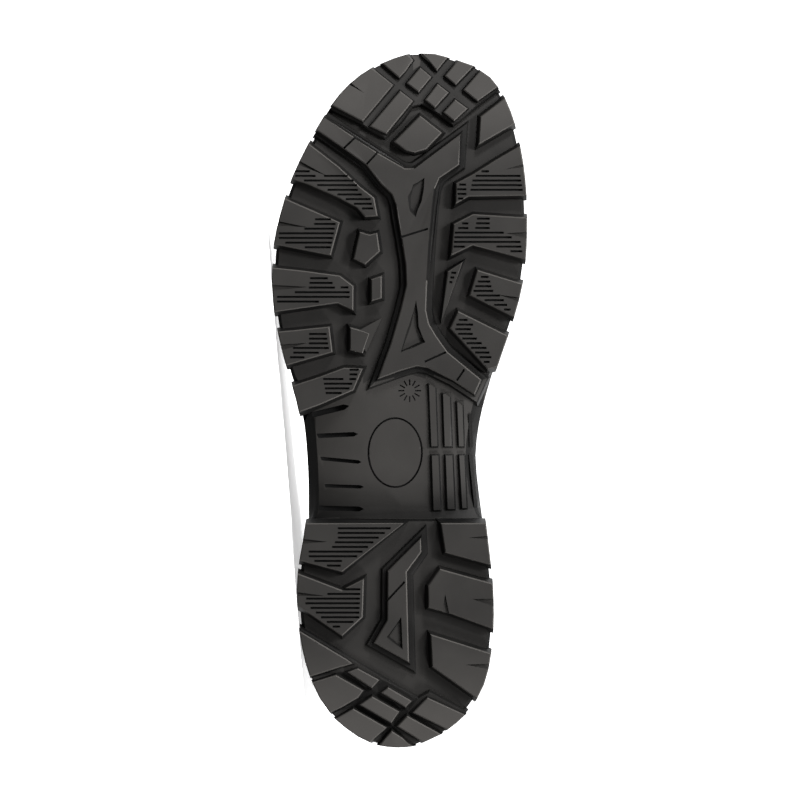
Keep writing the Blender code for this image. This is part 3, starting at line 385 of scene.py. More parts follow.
def make_enamel():
    """Brass eyelet under black stove enamel: smooth, glossy, a little uneven."""
    material, shader, place = start_material("black_enamelled_brass", {"Metallic": 0.6})
    noise = add_node(material, "ShaderNodeTexNoise", {"Vector": place, "Scale": per_metre(1.2),
                                                      "Detail": 2.0})
    uneven = noise.outputs["Fac"]
    tone = add_node(material, "ShaderNodeValToRGB", {"Fac": uneven},
                    stops=((0.0, "#1c1c1d"), (1.0, "#2c2b2b")))
    gloss = add_node(material, "ShaderNodeMapRange", {"Value": uneven, "To Min": 0.25, "To Max": 0.42})
    set_inputs(material, shader, {"Base Color": tone.outputs["Color"], "Roughness": gloss.outputs["Result"]})
    return material


def boot_frame():
    """Place of the boot's own frame in the row, worked out from the two mounts on the tread."""
    mounts = {mount["name"]: mount for mount in frame["record"]["mounts"]}
    heel, forefoot = (Vector(mounts[name]["pos_m"]) for name in ("heel_tread", "forefoot_tread"))
    collar = -Vector(mounts["heel_tread"]["axis"]).normalized()
    run = Vector(FOREFOOT_SPOT) - Vector(HEEL_SPOT)
    toe = Matrix.Rotation(-math.atan2(run.y, run.x), 3, collar) @ (forefoot - heel)
    toe = (toe - collar * toe.dot(collar)).normalized()
    axes = Matrix((toe, collar.cross(toe), collar)).transposed()
    heel_back = heel - axes @ Vector((*HEEL_SPOT, 0.0)) * MM
    return Matrix.Translation(heel_back) @ axes.to_4x4() @ Matrix.Scale(MM, 4)


def node_copy(name):
    """Merged copy of a CAD node's mesh as a bmesh in the row frame."""
    bm = bmesh.new()
    bm.from_mesh(frame["nodes"][name].data)
    bmesh.ops.remove_doubles(bm, verts=bm.verts, dist=CAD_MERGE * MM)
    return bm


def mesh_from(name, bm):
    """Mesh with a bmesh's shape; the bmesh is freed."""
    mesh = bpy.data.meshes.new(name)
    bm.to_mesh(mesh)
    bm.free()
    return mesh


def add_object(name, data):
    """Object of the scene with a mesh, a lamp or a camera."""
    made = bpy.data.objects.new(name, data)
    bpy.context.scene.collection.objects.link(made)
    return made


def add_piece(name, bm, materials, stands_for):
    """Finished piece at the origin that rides on the boot and stands for CAD nodes."""
    mesh = mesh_from(name, bm)
    for material in materials:
        mesh.materials.append(material)
    piece = add_object(name, mesh)
    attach(piece, "root")
    if stands_for:
        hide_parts(*stands_for)
    return piece


def apply_modifiers(piece):
    """Bake a piece's modifiers into its mesh."""
    graph = bpy.context.evaluated_depsgraph_get()
    mesh = bpy.data.meshes.new_from_object(piece.evaluated_get(graph))
    piece.modifiers.clear()
    old = piece.data
    piece.data = mesh
    mesh.name = old.name
    bpy.data.meshes.remove(old)


def smooth_shade(mesh, angle):
    """Shade a mesh smooth, but for edges sharper than an angle in degrees."""
    for face in mesh.polygons:
        face.use_smooth = True
    mesh.set_sharp_from_angle(angle=math.radians(angle))


def round_off(piece, levels, angle):
    """Subdivide a piece and shade it smooth."""
    rounder = piece.modifiers.new("round", "SUBSURF")
    rounder.levels = rounder.render_levels = levels
    apply_modifiers(piece)
    smooth_shade(piece.data, angle)


def interpolate(rows, x):
    """Values at x, on a smooth curve through rows that are sorted by their first column."""
    if x <= rows[0][0]:
        return list(rows[0][1:])
    if x >= rows[-1][0]:
        return list(rows[-1][1:])
    i = next(k for k in range(len(rows) - 1) if rows[k + 1][0] >= x)
    span = rows[i + 1][0] - rows[i][0]
    u = (x - rows[i][0]) / span
    values = []
    for column in range(1, len(rows[0])):
        slopes = [slope(rows, k, column) * span for k in (i, i + 1)]
        a, b = rows[i][column], rows[i + 1][column]
        values.append((1 + 2 * u) * (1 - u) ** 2 * a + u * (1 - u) ** 2 * slopes[0]
                      + u * u * (3 - 2 * u) * b + u * u * (u - 1) * slopes[1])
    return values


def slope(rows, k, column):
    """Tangent at row k; it is level where the values turn, so the curve never overshoots a row."""
    if k == 0 or k == len(rows) - 1:
        j = min(max(k, 1), len(rows) - 1)
        return (rows[j][column] - rows[j - 1][column]) / (rows[j][0] - rows[j - 1][0])
    before = (rows[k][column] - rows[k - 1][column]) / (rows[k][0] - rows[k - 1][0])
    after = (rows[k + 1][column] - rows[k][column]) / (rows[k + 1][0] - rows[k][0])
    if before * after <= 0:
        return 0.0
    return 2 * before * after / (before + after)


def spread(low, high, count):
    """Evenly spaced values from low to high, one more than the count of steps."""
    return [low + (high - low) * k / count for k in range(count + 1)]


def prism(bm, corners, low, high):
    """Closed prism over corners of station and offset between two heights; returns its two ends' vertices."""
    bottom = [bm.verts.new((s, o, low)) for s, o in corners]
    grown = bmesh.ops.extrude_face_region(bm, geom=[bm.faces.new(bottom)])["geom"]
    top = [item for item in grown if isinstance(item, bmesh.types.BMVert)]
    bmesh.ops.translate(bm, vec=(0, 0, high - low), verts=top)
    return bottom, top


def tread_at(tree, s, o):
    """Height of the sole's underside over a station and an offset."""
    hit = tree.ray_cast(Vector((s, o, RAY_START)), Vector((0, 0, 1)))[0]
    return hit.z if hit else 0.0


def middle(corners):
    """Mean station and offset of some corners."""
    return (sum(c[0] for c in corners) / len(corners), sum(c[1] for c in corners) / len(corners))


def sink(bm, tree, corners, depth):
    """Tool that cuts a field to a depth past the tread at its middle."""
    top = tread_at(tree, *middle(corners))
    prism(bm, corners, top - TOOL_BELOW, top + depth)


def clip_row(corners, s):
    """Stretches of offset inside a polygon of station and offset, along one station."""
    cuts = []
    for (s1, o1), (s2, o2) in zip(corners, corners[1:] + corners[:1]):
        if (s1 > s) != (s2 > s):
            cuts.append(o1 + (o2 - o1) * (s - s1) / (s2 - s1))
    cuts.sort()
    return list(zip(cuts[::2], cuts[1::2]))


def cut_rib_grooves(bm, tree):
    """Grooves across the ribbed fields, evenly spaced along the boot."""
    for first, corners in RIB_FIELDS:
        s = first
        while s > min(corner[0] for corner in corners):
            for start, end in clip_row(corners, s):
                if end - start > RIB_SHORTEST:
                    half = RIB_WIDTH / 2
                    run = ((s - half, start + RIB_MARGIN), (s + half, start + RIB_MARGIN),
                           (s + half, end - RIB_MARGIN), (s - half, end - RIB_MARGIN))
                    sink(bm, tree, run, RIB_DEPTH)
            s -= RIB_PITCH


def strip(start, end, width):
    """Corners of a straight strip between two points of station and offset."""
    a, b = Vector(start), Vector(end)
    across = (b - a).normalized().orthogonal() * width / 2
    return [tuple(p) for p in (a - across, b - across, b + across, a + across)]


def cut_sipes(bm, tree):
    """Wedge sipes and notches of the lugs."""
    for corners in SIPES:
        sink(bm, tree, corners, SIPE_DEPTH)


def cut_recesses(bm, tree):
    """Shallow fields with sloped walls, which have their outline at the tread."""
    for corners in RECESSES:
        centre = middle(corners)
        top = tread_at(tree, *centre)
        layers = prism(bm, corners, top - RECESS_BELOW, top + RECESS_DEPTH)
        for verts, depth in zip(layers, (-RECESS_BELOW, RECESS_DEPTH)):
            for vertex in verts:
                inwards = (Vector(centre) - vertex.co.xy).normalized()
                vertex.co.xy += inwards * RECESS_DRAFT * depth


def cut_cross(bm, tree):
    """Narrow cuts across the spine and the heel's island."""
    for start, end in CROSS_CUTS:
        sink(bm, tree, strip(start, end, CROSS_CUT_WIDTH), CUT_DEPTH)


def add_slim_bars(bm, tree):
    """Slim outer bars of the waist, beside the broad ones, which follow the arch."""
    for front, rear, front_o, rear_o in WAIST_SLIM_BARS:
        corners = ((front, front_o), (front, front_o + SLIM_BAR_WIDTH), (rear, rear_o + SLIM_BAR_WIDTH),
                   (rear, rear_o))
        bottom, top = prism(bm, corners, 0.0, 1.0)
        for vertex in bottom + top:
            floor = tread_at(tree, vertex.co.x, vertex.co.y)
            vertex.co.z = floor - SLIM_BAR_HEIGHT if vertex in bottom else floor + SLIM_BAR_ROOT


def cut_bar_fronts(bm, tree):
    """Cut the front ends of the waist's broad bars to a slant, down to the floor."""
    for front, inner, outer in WAIST_BAR_FRONTS:
        floor = tread_at(tree, front + BAR_AHEAD, (inner + outer) / 2)
        near, far = inner - BAR_MARGIN, outer + BAR_MARGIN
        corners = ((front + BAR_MARGIN, near), (front + BAR_MARGIN, far), (front - BAR_SLANT, far))
        prism(bm, corners, *(floor + height for height in BAR_HEIGHTS))


def add_block_arm(bm, tree):
    """Pointed arm of the rear block between the lateral lugs and the spine."""
    prism(bm, BLOCK_ARM, tread_at(tree, *BLOCK_ARM[0]), BLOCK_ARM_ROOT)


def cut_waist(bm, tree):
    """Transverse grooves with pointed inner ends."""
    for start, end, width, depth in WAIST_GROOVES:
        corners = strip(start, end, width)
        point = Vector(end) + (Vector(end) - Vector(start)).normalized() * width
        corners.insert(2, tuple(point))
        sink(bm, tree, corners, depth)


def cut_oval(bm, tree):
    """Sunk rim of the plain oval field on the waist."""
    rings = []
    for grow in (0.0, OVAL_RIM):
        made = bmesh.ops.create_circle(bm, segments=OVAL_SEGMENTS, radius=1.0)["verts"]
        bmesh.ops.scale(bm, vec=(OVAL_HALF[0] + grow, OVAL_HALF[1] + grow, 1.0), verts=made)
        bmesh.ops.translate(bm, vec=(*OVAL_CENTRE, 0.0), verts=made)
        rings.append(made)
    edges = list({edge for ring in rings for vertex in ring for edge in vertex.link_edges})
    faces = bmesh.ops.bridge_loops(bm, edges=edges)["faces"]
    for ring in rings:
        for vertex in ring:
            vertex.co.z = tread_at(tree, vertex.co.x, vertex.co.y) - OVAL_BELOW
    grown = bmesh.ops.extrude_face_region(bm, geom=faces)["geom"]
    top = [item for item in grown if isinstance(item, bmesh.types.BMVert)]
    bmesh.ops.translate(bm, vec=(0, 0, OVAL_BELOW + OVAL_DEPTH), verts=top)


def cut_date_ring(bm, tree):
    """Plain ring of ticks, as a mould's insert leaves it."""
    top = tread_at(tree, *DATE_RING_CENTRE)
    for k in range(DATE_RING_TICKS):
        angle = math.tau * k / DATE_RING_TICKS
        way = Vector((math.cos(angle), math.sin(angle)))
        start, end = (Vector(DATE_RING_CENTRE) + way * radius for radius in DATE_RING_RADII)
        prism(bm, strip(start, end, TICK_WIDTH), top - TOOL_BELOW, top + TICK_DEPTH)


def carve(piece, tool_mesh, operation, tone):
    """Cut a tool out of the piece or join it on; the faces that the tool leaves keep its tone's number."""
    bmesh.ops.recalc_face_normals(tool_mesh, faces=tool_mesh.faces)
    bmesh.ops.transform(tool_mesh, matrix=BOOT, verts=tool_mesh.verts)
    for face in tool_mesh.faces:
        face.material_index = tone
    tool = add_object("tool", mesh_from("tool", tool_mesh))
    cut = piece.modifiers.new("carve", "BOOLEAN")
    cut.operation, cut.solver, cut.object = operation, "EXACT", tool
    apply_modifiers(piece)
    bpy.data.objects.remove(tool)


def relief_of(facing, depth, s):
    """Tone of a face from the way it faces, its depth below the lug tops and its station: painted shade on
    the walls, ledges and channels, a painted sheen on the waist and a painted highlight on the worn top
    edges.
    """
    if facing <= FACING_DOWN and not (WAIST_ENDS[0] < s < WAIST_ENDS[1] and facing > WAIST_FACING):
        # Worn top edges get a painted highlight, the other walls painted shade
        return RELIEF_EDGE_HIGHLIGHT if facing > FACING_EDGE and depth < TOP_DEPTH else RELIEF_WALL_SHADE
    # The waist's floor gets a painted sheen
    if WAIST_ENDS[0] < s < WAIST_ENDS[1] and depth > RECESS_LIMIT:
        return RELIEF_WAIST_SHEEN
    if LEDGE_DEPTHS[0] < depth < LEDGE_DEPTHS[1]:
        return RELIEF_LEDGE_SHADE
    return RELIEF_TOP if depth < RECESS_LIMIT else RELIEF_CHANNEL_SHADE


def waist_painted_shade(spot):
    """How much darker the waist is painted at a spot, as painted shade towards the heel and the lateral edge.
    """
    total = 0.0
    for value, (start, span, drop) in ((spot.x, WAIST_SHADE_HEEL), (spot.y, WAIST_SHADE_EDGE)):
        total += drop * min(max((start - value) / span, 0.0), 1.0) ** 2
    return total


def end_painted_light(spot):
    """How much paler the lug tops are painted at a spot, as painted light towards the toe's tip and the
    heel's back.
    """
    return max(gain * min(max((spot.x - start) / span, 0.0), 1.0) for start, span, gain in END_PAINTED_LIGHT)


def mark_relief(piece):
    """Attribute of the faces' corners, from 0 in the grooves that are painted black as shade to 1 on the
    lugs' worn edges with their painted highlight.
    """
    mesh = piece.data
    turn = INTO_BOOT.to_3x3()
    values = [0.0] * len(mesh.loops)
    for face in mesh.polygons:
        spot = INTO_BOOT @ face.center
        facing = -(turn @ face.normal).normalized().z
        depth = spot.z - interpolate(TREAD_LINE, spot.x)[0]
        tone = RELIEF_GROOVE_SHADE if face.material_index else relief_of(facing, depth, spot.x)
        for k in face.loop_indices:
            corner = INTO_BOOT @ mesh.vertices[mesh.loops[k].vertex_index].co
            values[k] = tone
            if tone == RELIEF_WAIST_SHEEN:
                # Painted shade on the waist, towards the heel and the lateral edge
                values[k] -= waist_painted_shade(corner)
            elif tone == RELIEF_TOP:
                # Painted light on the lug tops towards the toe's tip and the heel's back
                values[k] += end_painted_light(corner)
        face.material_index = 0
    # The second slot of the same rubber only told apart the cuts whose faces are painted black as shade
    mesh.materials.pop()
    layer = mesh.attributes.new("relief", "FLOAT", "CORNER")
    layer.data.foreach_set("value", values)


def slice_faces(bm, faces, axis, places):
    """Cut some faces along planes across one axis, at several places; returns the faces that result."""
    geom = list(faces) + list({edge for face in faces for edge in face.edges})
    geom += list({vertex for face in faces for vertex in face.verts})
    for place in places:
        normal = Vector([1.0 if k == axis else 0.0 for k in range(3)])
        geom = bmesh.ops.bisect_plane(bm, geom=geom, dist=MERGE, plane_co=normal * place,
                                      plane_no=normal)["geom"]
    return [item for item in geom if isinstance(item, bmesh.types.BMFace)]


def in_waist(spot):
    """Whether a spot lies among the forms of the waist's floor."""
    above = spot.z - interpolate(TREAD_LINE, spot.x)[0]
    return WAIST_ENDS[0] - WAIST_SLACK < spot.x < WAIST_ENDS[1] and RECESS_LIMIT < above < WAIST_CEILING


def roll_waist(bm):
    """Draw the waist's floor up towards its lateral and medial edges; returns its vertices."""
    floor = [face for face in bm.faces
             if face.normal.z < -FACING_DOWN and in_waist(face.calc_center_median())]
    for axis, (low, high) in enumerate((WAIST_ENDS, WAIST_SIDES)):
        count = round((high - low) / WAIST_GRID[axis])
        floor = slice_faces(bm, floor, axis, spread(low, high, count)[1:-1])
    moved = [vertex for vertex in bm.verts if in_waist(vertex.co)]
    for vertex in moved:
        fade = min((WAIST_ENDS[1] - vertex.co.x) / ROLL_FADE, 1.0)
        start, span, rise = WAIST_ROLL[0] if vertex.co.y < 0 else WAIST_ROLL[1]
        reach = max(abs(vertex.co.y) - abs(start), 0.0) / span
        vertex.co.z += rise * reach * reach * fade * fade * (3 - 2 * fade)
    return moved


def round_ends(bm):
    """Ease the short flats at the heel's back and the toe's tip into curves."""
    for limit, centre, half, bulge in END_CURVES:
        past = [face for face in bm.faces if any((v.co.x - limit) * bulge > 0 for v in face.verts)]
        slice_faces(bm, past, 1, [centre + half * (2 * k / END_SLICES - 1) for k in range(1, END_SLICES)])
        for vertex in bm.verts:
            if (vertex.co.x - limit) * bulge > 0:
                vertex.co.x += bulge * max(1 - ((vertex.co.y - centre) / half) ** 2, 0.0)


def make_outsole(rubber):
    """Outsole with its fine tread cut into the lugs, the spine and the waist."""
    bm = node_copy("outsole")
    bmesh.ops.transform(bm, matrix=INTO_BOOT, verts=bm.verts)
    round_ends(bm)
    waist = set(roll_waist(bm))
    flat = [vertex for vertex in bm.verts if vertex not in waist]
    flat_edges = [edge for edge in bm.edges if not waist & set(edge.verts)]
    bmesh.ops.dissolve_limit(bm, angle_limit=math.radians(FLAT_ANGLE), verts=flat, edges=flat_edges)
    tree = BVHTree.FromBMesh(bm)
    bmesh.ops.transform(bm, matrix=BOOT, verts=bm.verts)
    piece = add_piece("carved_outsole", bm, [rubber, rubber], ["outsole"])
    # Tone 1 has a tool's faces painted black as shade in the cut; tone 0 leaves them to the relief
    for shape, tone in ((cut_rib_grooves, 1), (cut_sipes, 0), (cut_recesses, 0), (cut_cross, 1),
                        (cut_waist, 1), (cut_oval, 1), (cut_date_ring, 1), (cut_bar_fronts, 0),
                        (add_slim_bars, 0), (add_block_arm, 0)):
        tool = bmesh.new()
        shape(tool, tree)
        carve(piece, tool, "UNION" if shape in (add_slim_bars, add_block_arm) else "DIFFERENCE", tone)
    bevel = piece.modifiers.new("edges", "BEVEL")
    bevel.width, bevel.segments, bevel.limit_method = EDGE_BEVEL * MM, BEVEL_SEGMENTS, "ANGLE"
    bevel.angle_limit = math.radians(EDGE_ANGLE)
    apply_modifiers(piece)
    smooth_shade(piece.data, EDGE_ANGLE)
    flats = piece.modifiers.new("flats", "WEIGHTED_NORMAL")
    flats.mode, flats.weight, flats.keep_sharp = "FACE_AREA", FLAT_WEIGHT, True
    apply_modifiers(piece)
    # Painted shade, sheen and highlight, with the worn tops, go into the relief attribute
    mark_relief(piece)


def make_footbed(cloth):
    """Subdivided copy of the insole, with its rims kept crisp."""
    bm = node_copy("insole")
    face_angle, shape_angle = (math.radians(angle) for angle in FOOTBED_JOIN)
    bmesh.ops.join_triangles(bm, faces=bm.faces, angle_face_threshold=face_angle,
                             angle_shape_threshold=shape_angle)
    crease = bm.edges.layers.float.new("crease_edge")
    for edge in bm.edges:
        if edge.calc_face_angle(0.0) > math.radians(FOOTBED_RIM):
            edge[crease] = FOOTBED_CREASE
    piece = add_piece("footbed", bm, [cloth], ["insole"])
    round_off(piece, *FOOTBED_ROUNDING)


def feather_height(s):
    """Height of the sole under the hem."""
    return interpolate(FEATHER_LINE, s)[0]


def make_hem_line():
    """Sections of the sole's outline moved in by the hem's inset: station, lateral offset, medial offset."""
    medial = [Vector((s, inner)) for s, outer, inner in SOLE_SECTIONS]
    lateral = [Vector((s, outer)) for s, outer, inner in SOLE_SECTIONS]
    loop = medial + lateral[::-1]
    moved = []
    for k, corner in enumerate(loop):
        before = (corner - loop[k - 1]).normalized()
        after = (loop[(k + 1) % len(loop)] - corner).normalized()
        first, second = (Vector((way.y, -way.x)) for way in (before, after))
        moved.append(corner + (first + second) * HEM_INSET / (1 + first.dot(second)))
    pairs = zip(moved, moved[::-1][:len(medial)])
    return [((inner.x + outer.x) / 2, outer.y, inner.y) for inner, outer in pairs]


def section_at(row):
    """Values of the upper's section at a row, which may lie between two rows of the table."""
    return interpolate([(k, *values) for k, values in enumerate(UPPER_SECTIONS)], row)


def upper_point(row, across):
    """Outer face of the upper; across runs from -1 at the lateral hem over the ridge to 1 at the medial."""
    ridge_s, ridge_z, hem_s, lift, on_edge, shoulder, bulge, rise = section_at(row)
    side = 1 if across >= 0 else -1
    u, v = abs(across), 1 - abs(across)
    hem_o = interpolate(HEM_LINE, hem_s)[1 if side > 0 else 0] * on_edge
    ridge = Vector((ridge_s, interpolate(RIDGE_OFFSET, ridge_s)[0], ridge_z))
    hem = Vector((hem_s, hem_o, feather_height(hem_s) + HEM_GAP + lift))
    ridge.z = max(ridge.z, feather_height(ridge_s) + HEM_GAP)
    out = Vector((0, side, 0))
    shoulder_point = ridge + out * shoulder
    side_point = hem + out * bulge + Vector((ridge.x - hem.x, 0, ridge.z - hem.z)) * rise
    return v ** 3 * ridge + 3 * v * v * u * shoulder_point + 3 * v * u * u * side_point + u ** 3 * hem


def upper_normal(row, across):
    """Way out of the upper's face."""
    low, high = max(row - NORMAL_STEP, 0.0), min(row + NORMAL_STEP, len(UPPER_SECTIONS) - 1.0)
    left, right = max(across - NORMAL_STEP, -ACROSS_LIMIT), min(across + NORMAL_STEP, ACROSS_LIMIT)
    along = upper_point(high, across) - upper_point(low, across)
    over = upper_point(row, right) - upper_point(row, left)
    return over.cross(along).normalized()


def facing_way(row, across, step):
    """Way along the upper's face from the toe to the collar."""
    return (upper_point(row + step, across) - upper_point(row - step, across)).normalized()


def off_upper(row, across, distance):
    """Point at a distance outside the upper's face, or inside it where that is negative."""
    return upper_point(row, across) + upper_normal(row, across) * distance


def throat_across(row):
    """Where the facing ends beside the throat; 0 in front of the throat."""
    if row <= THROAT_ROW:
        return 0.0
    opening = min(1.0, math.sqrt((row - THROAT_ROW) / THROAT_ROUND))
    # A section sets out from its ridge three times as fast as its shoulder reaches
    shoulder = section_at(row)[5]
    return opening * THROAT_HALF / (3.0 * shoulder)


def share_across(row, share):
    """Place across of a share of the way from the facing's edge to the hem."""
    start = throat_across(row)
    return start + (1 - start) * share


def upper_step(row, share):
    """How far the eyestay and the collar stand off the wall, and the back seam sinks into it."""
    if row > BACK_SEAM_ROW and share == 1.0:
        return (COLLAR_STEP if row > COLLAR_BAND_ROW else 0.0) - BACK_SEAM_DEPTH
    if row > COLLAR_BAND_ROW:
        return COLLAR_STEP
    if row > EYESTAY_ROW and share < EYESTAY_SHARE:
        return EYESTAY_STEP
    return 0.0


def upper_rows():
    """Rows of the upper's mesh, with a close pair at each step of its wall and one by the collar's edge."""
    steps = [EYESTAY_ROW - EYESTAY_SPLIT, EYESTAY_ROW + EYESTAY_SPLIT, COLLAR_BAND_ROW - COLLAR_SPLIT,
             COLLAR_BAND_ROW + COLLAR_SPLIT]
    rows = [k / 2 for k in range(int(COLLAR_ROW * 2) + 1)]
    rows = [row for row in rows if min(abs(row - step) for step in steps) > ROW_CLEAR]
    return sorted(rows + steps + [THROAT_ROW + THROAT_EXTRA, COLLAR_ROW - COLLAR_EXTRA])


def relax(lines, rows, columns):
    """Ease the points of some rows and columns towards the rows on either side."""
    for _ in range(RELAX_ROUNDS):
        for i in rows:
            for j in columns:
                lines[i][j] = lines[i][j].lerp((lines[i - 1][j] + lines[i + 1][j]) / 2, RELAX_PULL)


def loft(bm, lines, inside=None):
    """Sheet through lines of points, made from a flat grid, with the place of each point's twin inside."""
    twin = bm.verts.layers.float_vector.get("twin") or bm.verts.layers.float_vector.new("twin")
    along, across = len(lines) - 1, len(lines[0]) - 1
    made = bmesh.ops.create_grid(bm, x_segments=along, y_segments=across, size=1.0)["verts"]
    for vertex in made:
        i, j = round((vertex.co.x + 1) / 2 * along), round((vertex.co.y + 1) / 2 * across)
        vertex.co = lines[i][j]
        vertex[twin] = (inside or lines)[i][j]


def thicken(bm):
    """Draw a sheet out to its inside twin; returns the inner faces and those of the rims."""
    twin = bm.verts.layers.float_vector["twin"]
    outer = set(bm.faces)
    grown = bmesh.ops.extrude_face_region(bm, geom=bm.faces[:], use_keep_orig=True)["geom"]
    inner = {item for item in grown if isinstance(item, bmesh.types.BMFace)}
    for item in grown:
        if isinstance(item, bmesh.types.BMVert):
            item.co = item[twin]
    bm.verts.layers.float_vector.remove(twin)
    bmesh.ops.recalc_face_normals(bm, faces=bm.faces)
    return inner, {face for face in bm.faces if face not in outer and face not in inner}


def upper_lines(side, distance):
    """Lines of the upper's face on one side, or of a face at a distance from it that has no steps."""
    lines = []
    for row in upper_rows():
        line = []
        for share in UPPER_SHARES:
            off = upper_step(row, share) if distance == 0.0 else distance
            line.append(off_upper(row, side * share_across(row, share), off))
        lines.append(line)
    ankle = [k for k, row in enumerate(upper_rows()) if ANKLE_ROWS[0] < row < ANKLE_ROWS[1]]
    relax(lines, ankle, range(1, len(UPPER_SHARES) - 1))
    return lines


def crease_edges(bm, rims):
    """Keep the steps of the wall crisp and its rims nearly so."""
    crease = bm.edges.layers.float.new("crease_edge")
    for edge in bm.edges:
        if any(face in rims for face in edge.link_faces):
            edge[crease] = RIM_CREASE
        elif edge.calc_face_angle(0.0) > math.radians(STEP_ANGLE):
            edge[crease] = STEP_CREASE


def make_upper(leather, lining):
    """Leather wall with its raised eyestay and collar band and the sunk back seam, and the lining inside."""
    bm = bmesh.new()
    for side in (-1, 1):
        loft(bm, upper_lines(side, 0.0), upper_lines(side, -WALL))
    bmesh.ops.remove_doubles(bm, verts=bm.verts, dist=MERGE)
    inner, rims = thicken(bm)
    for face in inner:
        face.material_index = 1
    for vertex in bm.verts:
        vertex.co.z = max(vertex.co.z, feather_height(vertex.co.x) + HEM_GAP)
    crease_edges(bm, rims)
    bmesh.ops.transform(bm, matrix=BOOT, verts=bm.verts)
    piece = add_piece("leather_upper", bm, [leather, lining], ["upper"])
    round_off(piece, *UPPER_ROUNDING)
    return piece


def make_tongue(cloth):
    """Flat tongue under the facings, from inside the vamp to just above the collar."""
    along, half = TONGUE_STEPS
    sheets = []
    for depth in (WALL + TONGUE_GAP, WALL + TONGUE_GAP + TONGUE_THICKNESS):
        lines = []
        for row in spread(*TONGUE_ROWS, along):
            reach = TONGUE_LAP + throat_across(max(row, THROAT_ROW + THROAT_ROUND))
            lines.append([off_upper(row, reach * k / half, -depth) for k in range(-half, half + 1)])
        sheets.append(lines)
    bm = bmesh.new()
    loft(bm, *sheets)
    crease_edges(bm, thicken(bm)[1])
    bmesh.ops.transform(bm, matrix=BOOT, verts=bm.verts)
    piece = add_piece("nylon_tongue", bm, [cloth], ["tongue"])
    round_off(piece, *TONGUE_ROUNDING)


def eyelet_spots():
    """Row and place across of each pair of eyelets, evenly spaced along the facings."""
    fine = spread(*EYELET_ROWS, EYELET_STEPS)
    places = [throat_across(row) + EYELET_MARGIN for row in fine]
    points = [upper_point(row, place) for row, place in zip(fine, places)]
    lengths = [0.0]
    for a, b in zip(points, points[1:]):
        lengths.append(lengths[-1] + (b - a).length)
    spots = []
    for pair in range(EYELET_PAIRS):
        wanted = lengths[-1] * pair / (EYELET_PAIRS - 1)
        k = min(range(len(fine)), key=lambda i: abs(lengths[i] - wanted))
        spots.append((fine[k], places[k]))
    return spots


def eyelet_frame(number, side):
    """Centre of an eyelet on the wall, its normal and the way along the facing."""
    row, across = EYELET_SPOTS[number - 1]
    spot = (row, side * across)
    return upper_point(*spot), upper_normal(*spot), facing_way(*spot, EYELET_WAY)


def make_eyelets(enamel):
    """Rolled rings on the eyestay."""
    for number in range(1, len(EYELET_SPOTS) + 1):
        for side, word in ((-1, "lateral"), (1, "medial")):
            centre, normal, along = eyelet_frame(number, side)
            bm = bmesh.new()
            ring = bmesh.ops.create_circle(bm, segments=EYELET_SEGMENTS[0], radius=1.0)["verts"]
            bmesh.ops.rotate(bm, matrix=Matrix.Rotation(math.pi / 2, 3, "X"), verts=ring)
            bmesh.ops.scale(bm, vec=(EYELET_ROLL[0], 1.0, EYELET_ROLL[1]), verts=ring)
            bmesh.ops.translate(bm, vec=(EYELET_RING, 0, 0), verts=ring)
            bmesh.ops.spin(bm, geom=bm.verts[:] + bm.edges[:], cent=(0, 0, 0), axis=(0, 0, 1), angle=math.tau,
                           steps=EYELET_SEGMENTS[1], use_merge=True)
            bmesh.ops.remove_doubles(bm, verts=bm.verts, dist=FINE_MERGE)
            bmesh.ops.recalc_face_normals(bm, faces=bm.faces)
            turn = Matrix((along, normal.cross(along), normal)).transposed().to_4x4()
            place = Matrix.Translation(centre + normal * (EYELET_SEAT + EYELET_ROLL[1] / 2))
            bmesh.ops.transform(bm, matrix=BOOT @ place @ turn, verts=bm.verts)
            piece = add_piece(f"rolled_eyelet_{word}_{number}", bm, [enamel], [f"eyelet_{word}_{number}"])
            smooth_shade(piece.data, EYELET_ANGLE)


def lace_points(row, across):
    """Middle line of a lace run: out of one eyelet, over the facing's edge and the tongue, into the other."""
    edge = throat_across(row)
    heights = ((0.0, LACE_SAG), (LACE_RISE_AT * edge, LACE_SAG + LACE_RISE),
               (edge, LACE_OVER_EYELET - LACE_DIP), (across, LACE_OVER_EYELET))
    points = []
    for k in range(-LACE_STEPS, LACE_STEPS + 1):
        place = across * LACE_REACH * k / LACE_STEPS
        points.append(off_upper(row, place, interpolate(heights, abs(place))[0]))
    for side in (-1, 1):
        sinking = [off_upper(row, side * across * share, height) for share, height in LACE_SINK]
        points = points + sinking if side > 0 else sinking[::-1] + points
    return points


def make_laces(cloth):
    """Flat braid, run straight across between each pair of eyelets."""
    for number, (row, across) in enumerate(EYELET_SPOTS, 1):
        points = lace_points(row, across)
        wide = facing_way(row, 0.0, LACE_WAY)
        lines = []
        for k, point in enumerate(points):
            ahead = (points[min(k + 1, len(points) - 1)] - points[max(k - 1, 0)]).normalized()
            thick = ahead.cross(wide).normalized()
            line = []
            for angle in spread(0.0, math.tau, LACE_SIDES):
                aside = math.copysign(abs(math.cos(angle)) ** LACE_SQUARE, math.cos(angle))
                line.append(point + wide * LACE_HALF_WIDTH * aside
                            + thick * LACE_HALF_HEIGHT * math.sin(angle))
            lines.append(line)
        bm = bmesh.new()
        loft(bm, lines)
        bmesh.ops.remove_doubles(bm, verts=bm.verts, dist=FINE_MERGE)
        bmesh.ops.holes_fill(bm, edges=[edge for edge in bm.edges if edge.is_boundary])
        bmesh.ops.recalc_face_normals(bm, faces=bm.faces)
        bmesh.ops.transform(bm, matrix=BOOT, verts=bm.verts)
        piece = add_piece(f"lace_run_{number}", bm, [cloth], [f"lace_bar_{number}"])
        round_off(piece, *LACE_ROUNDING)


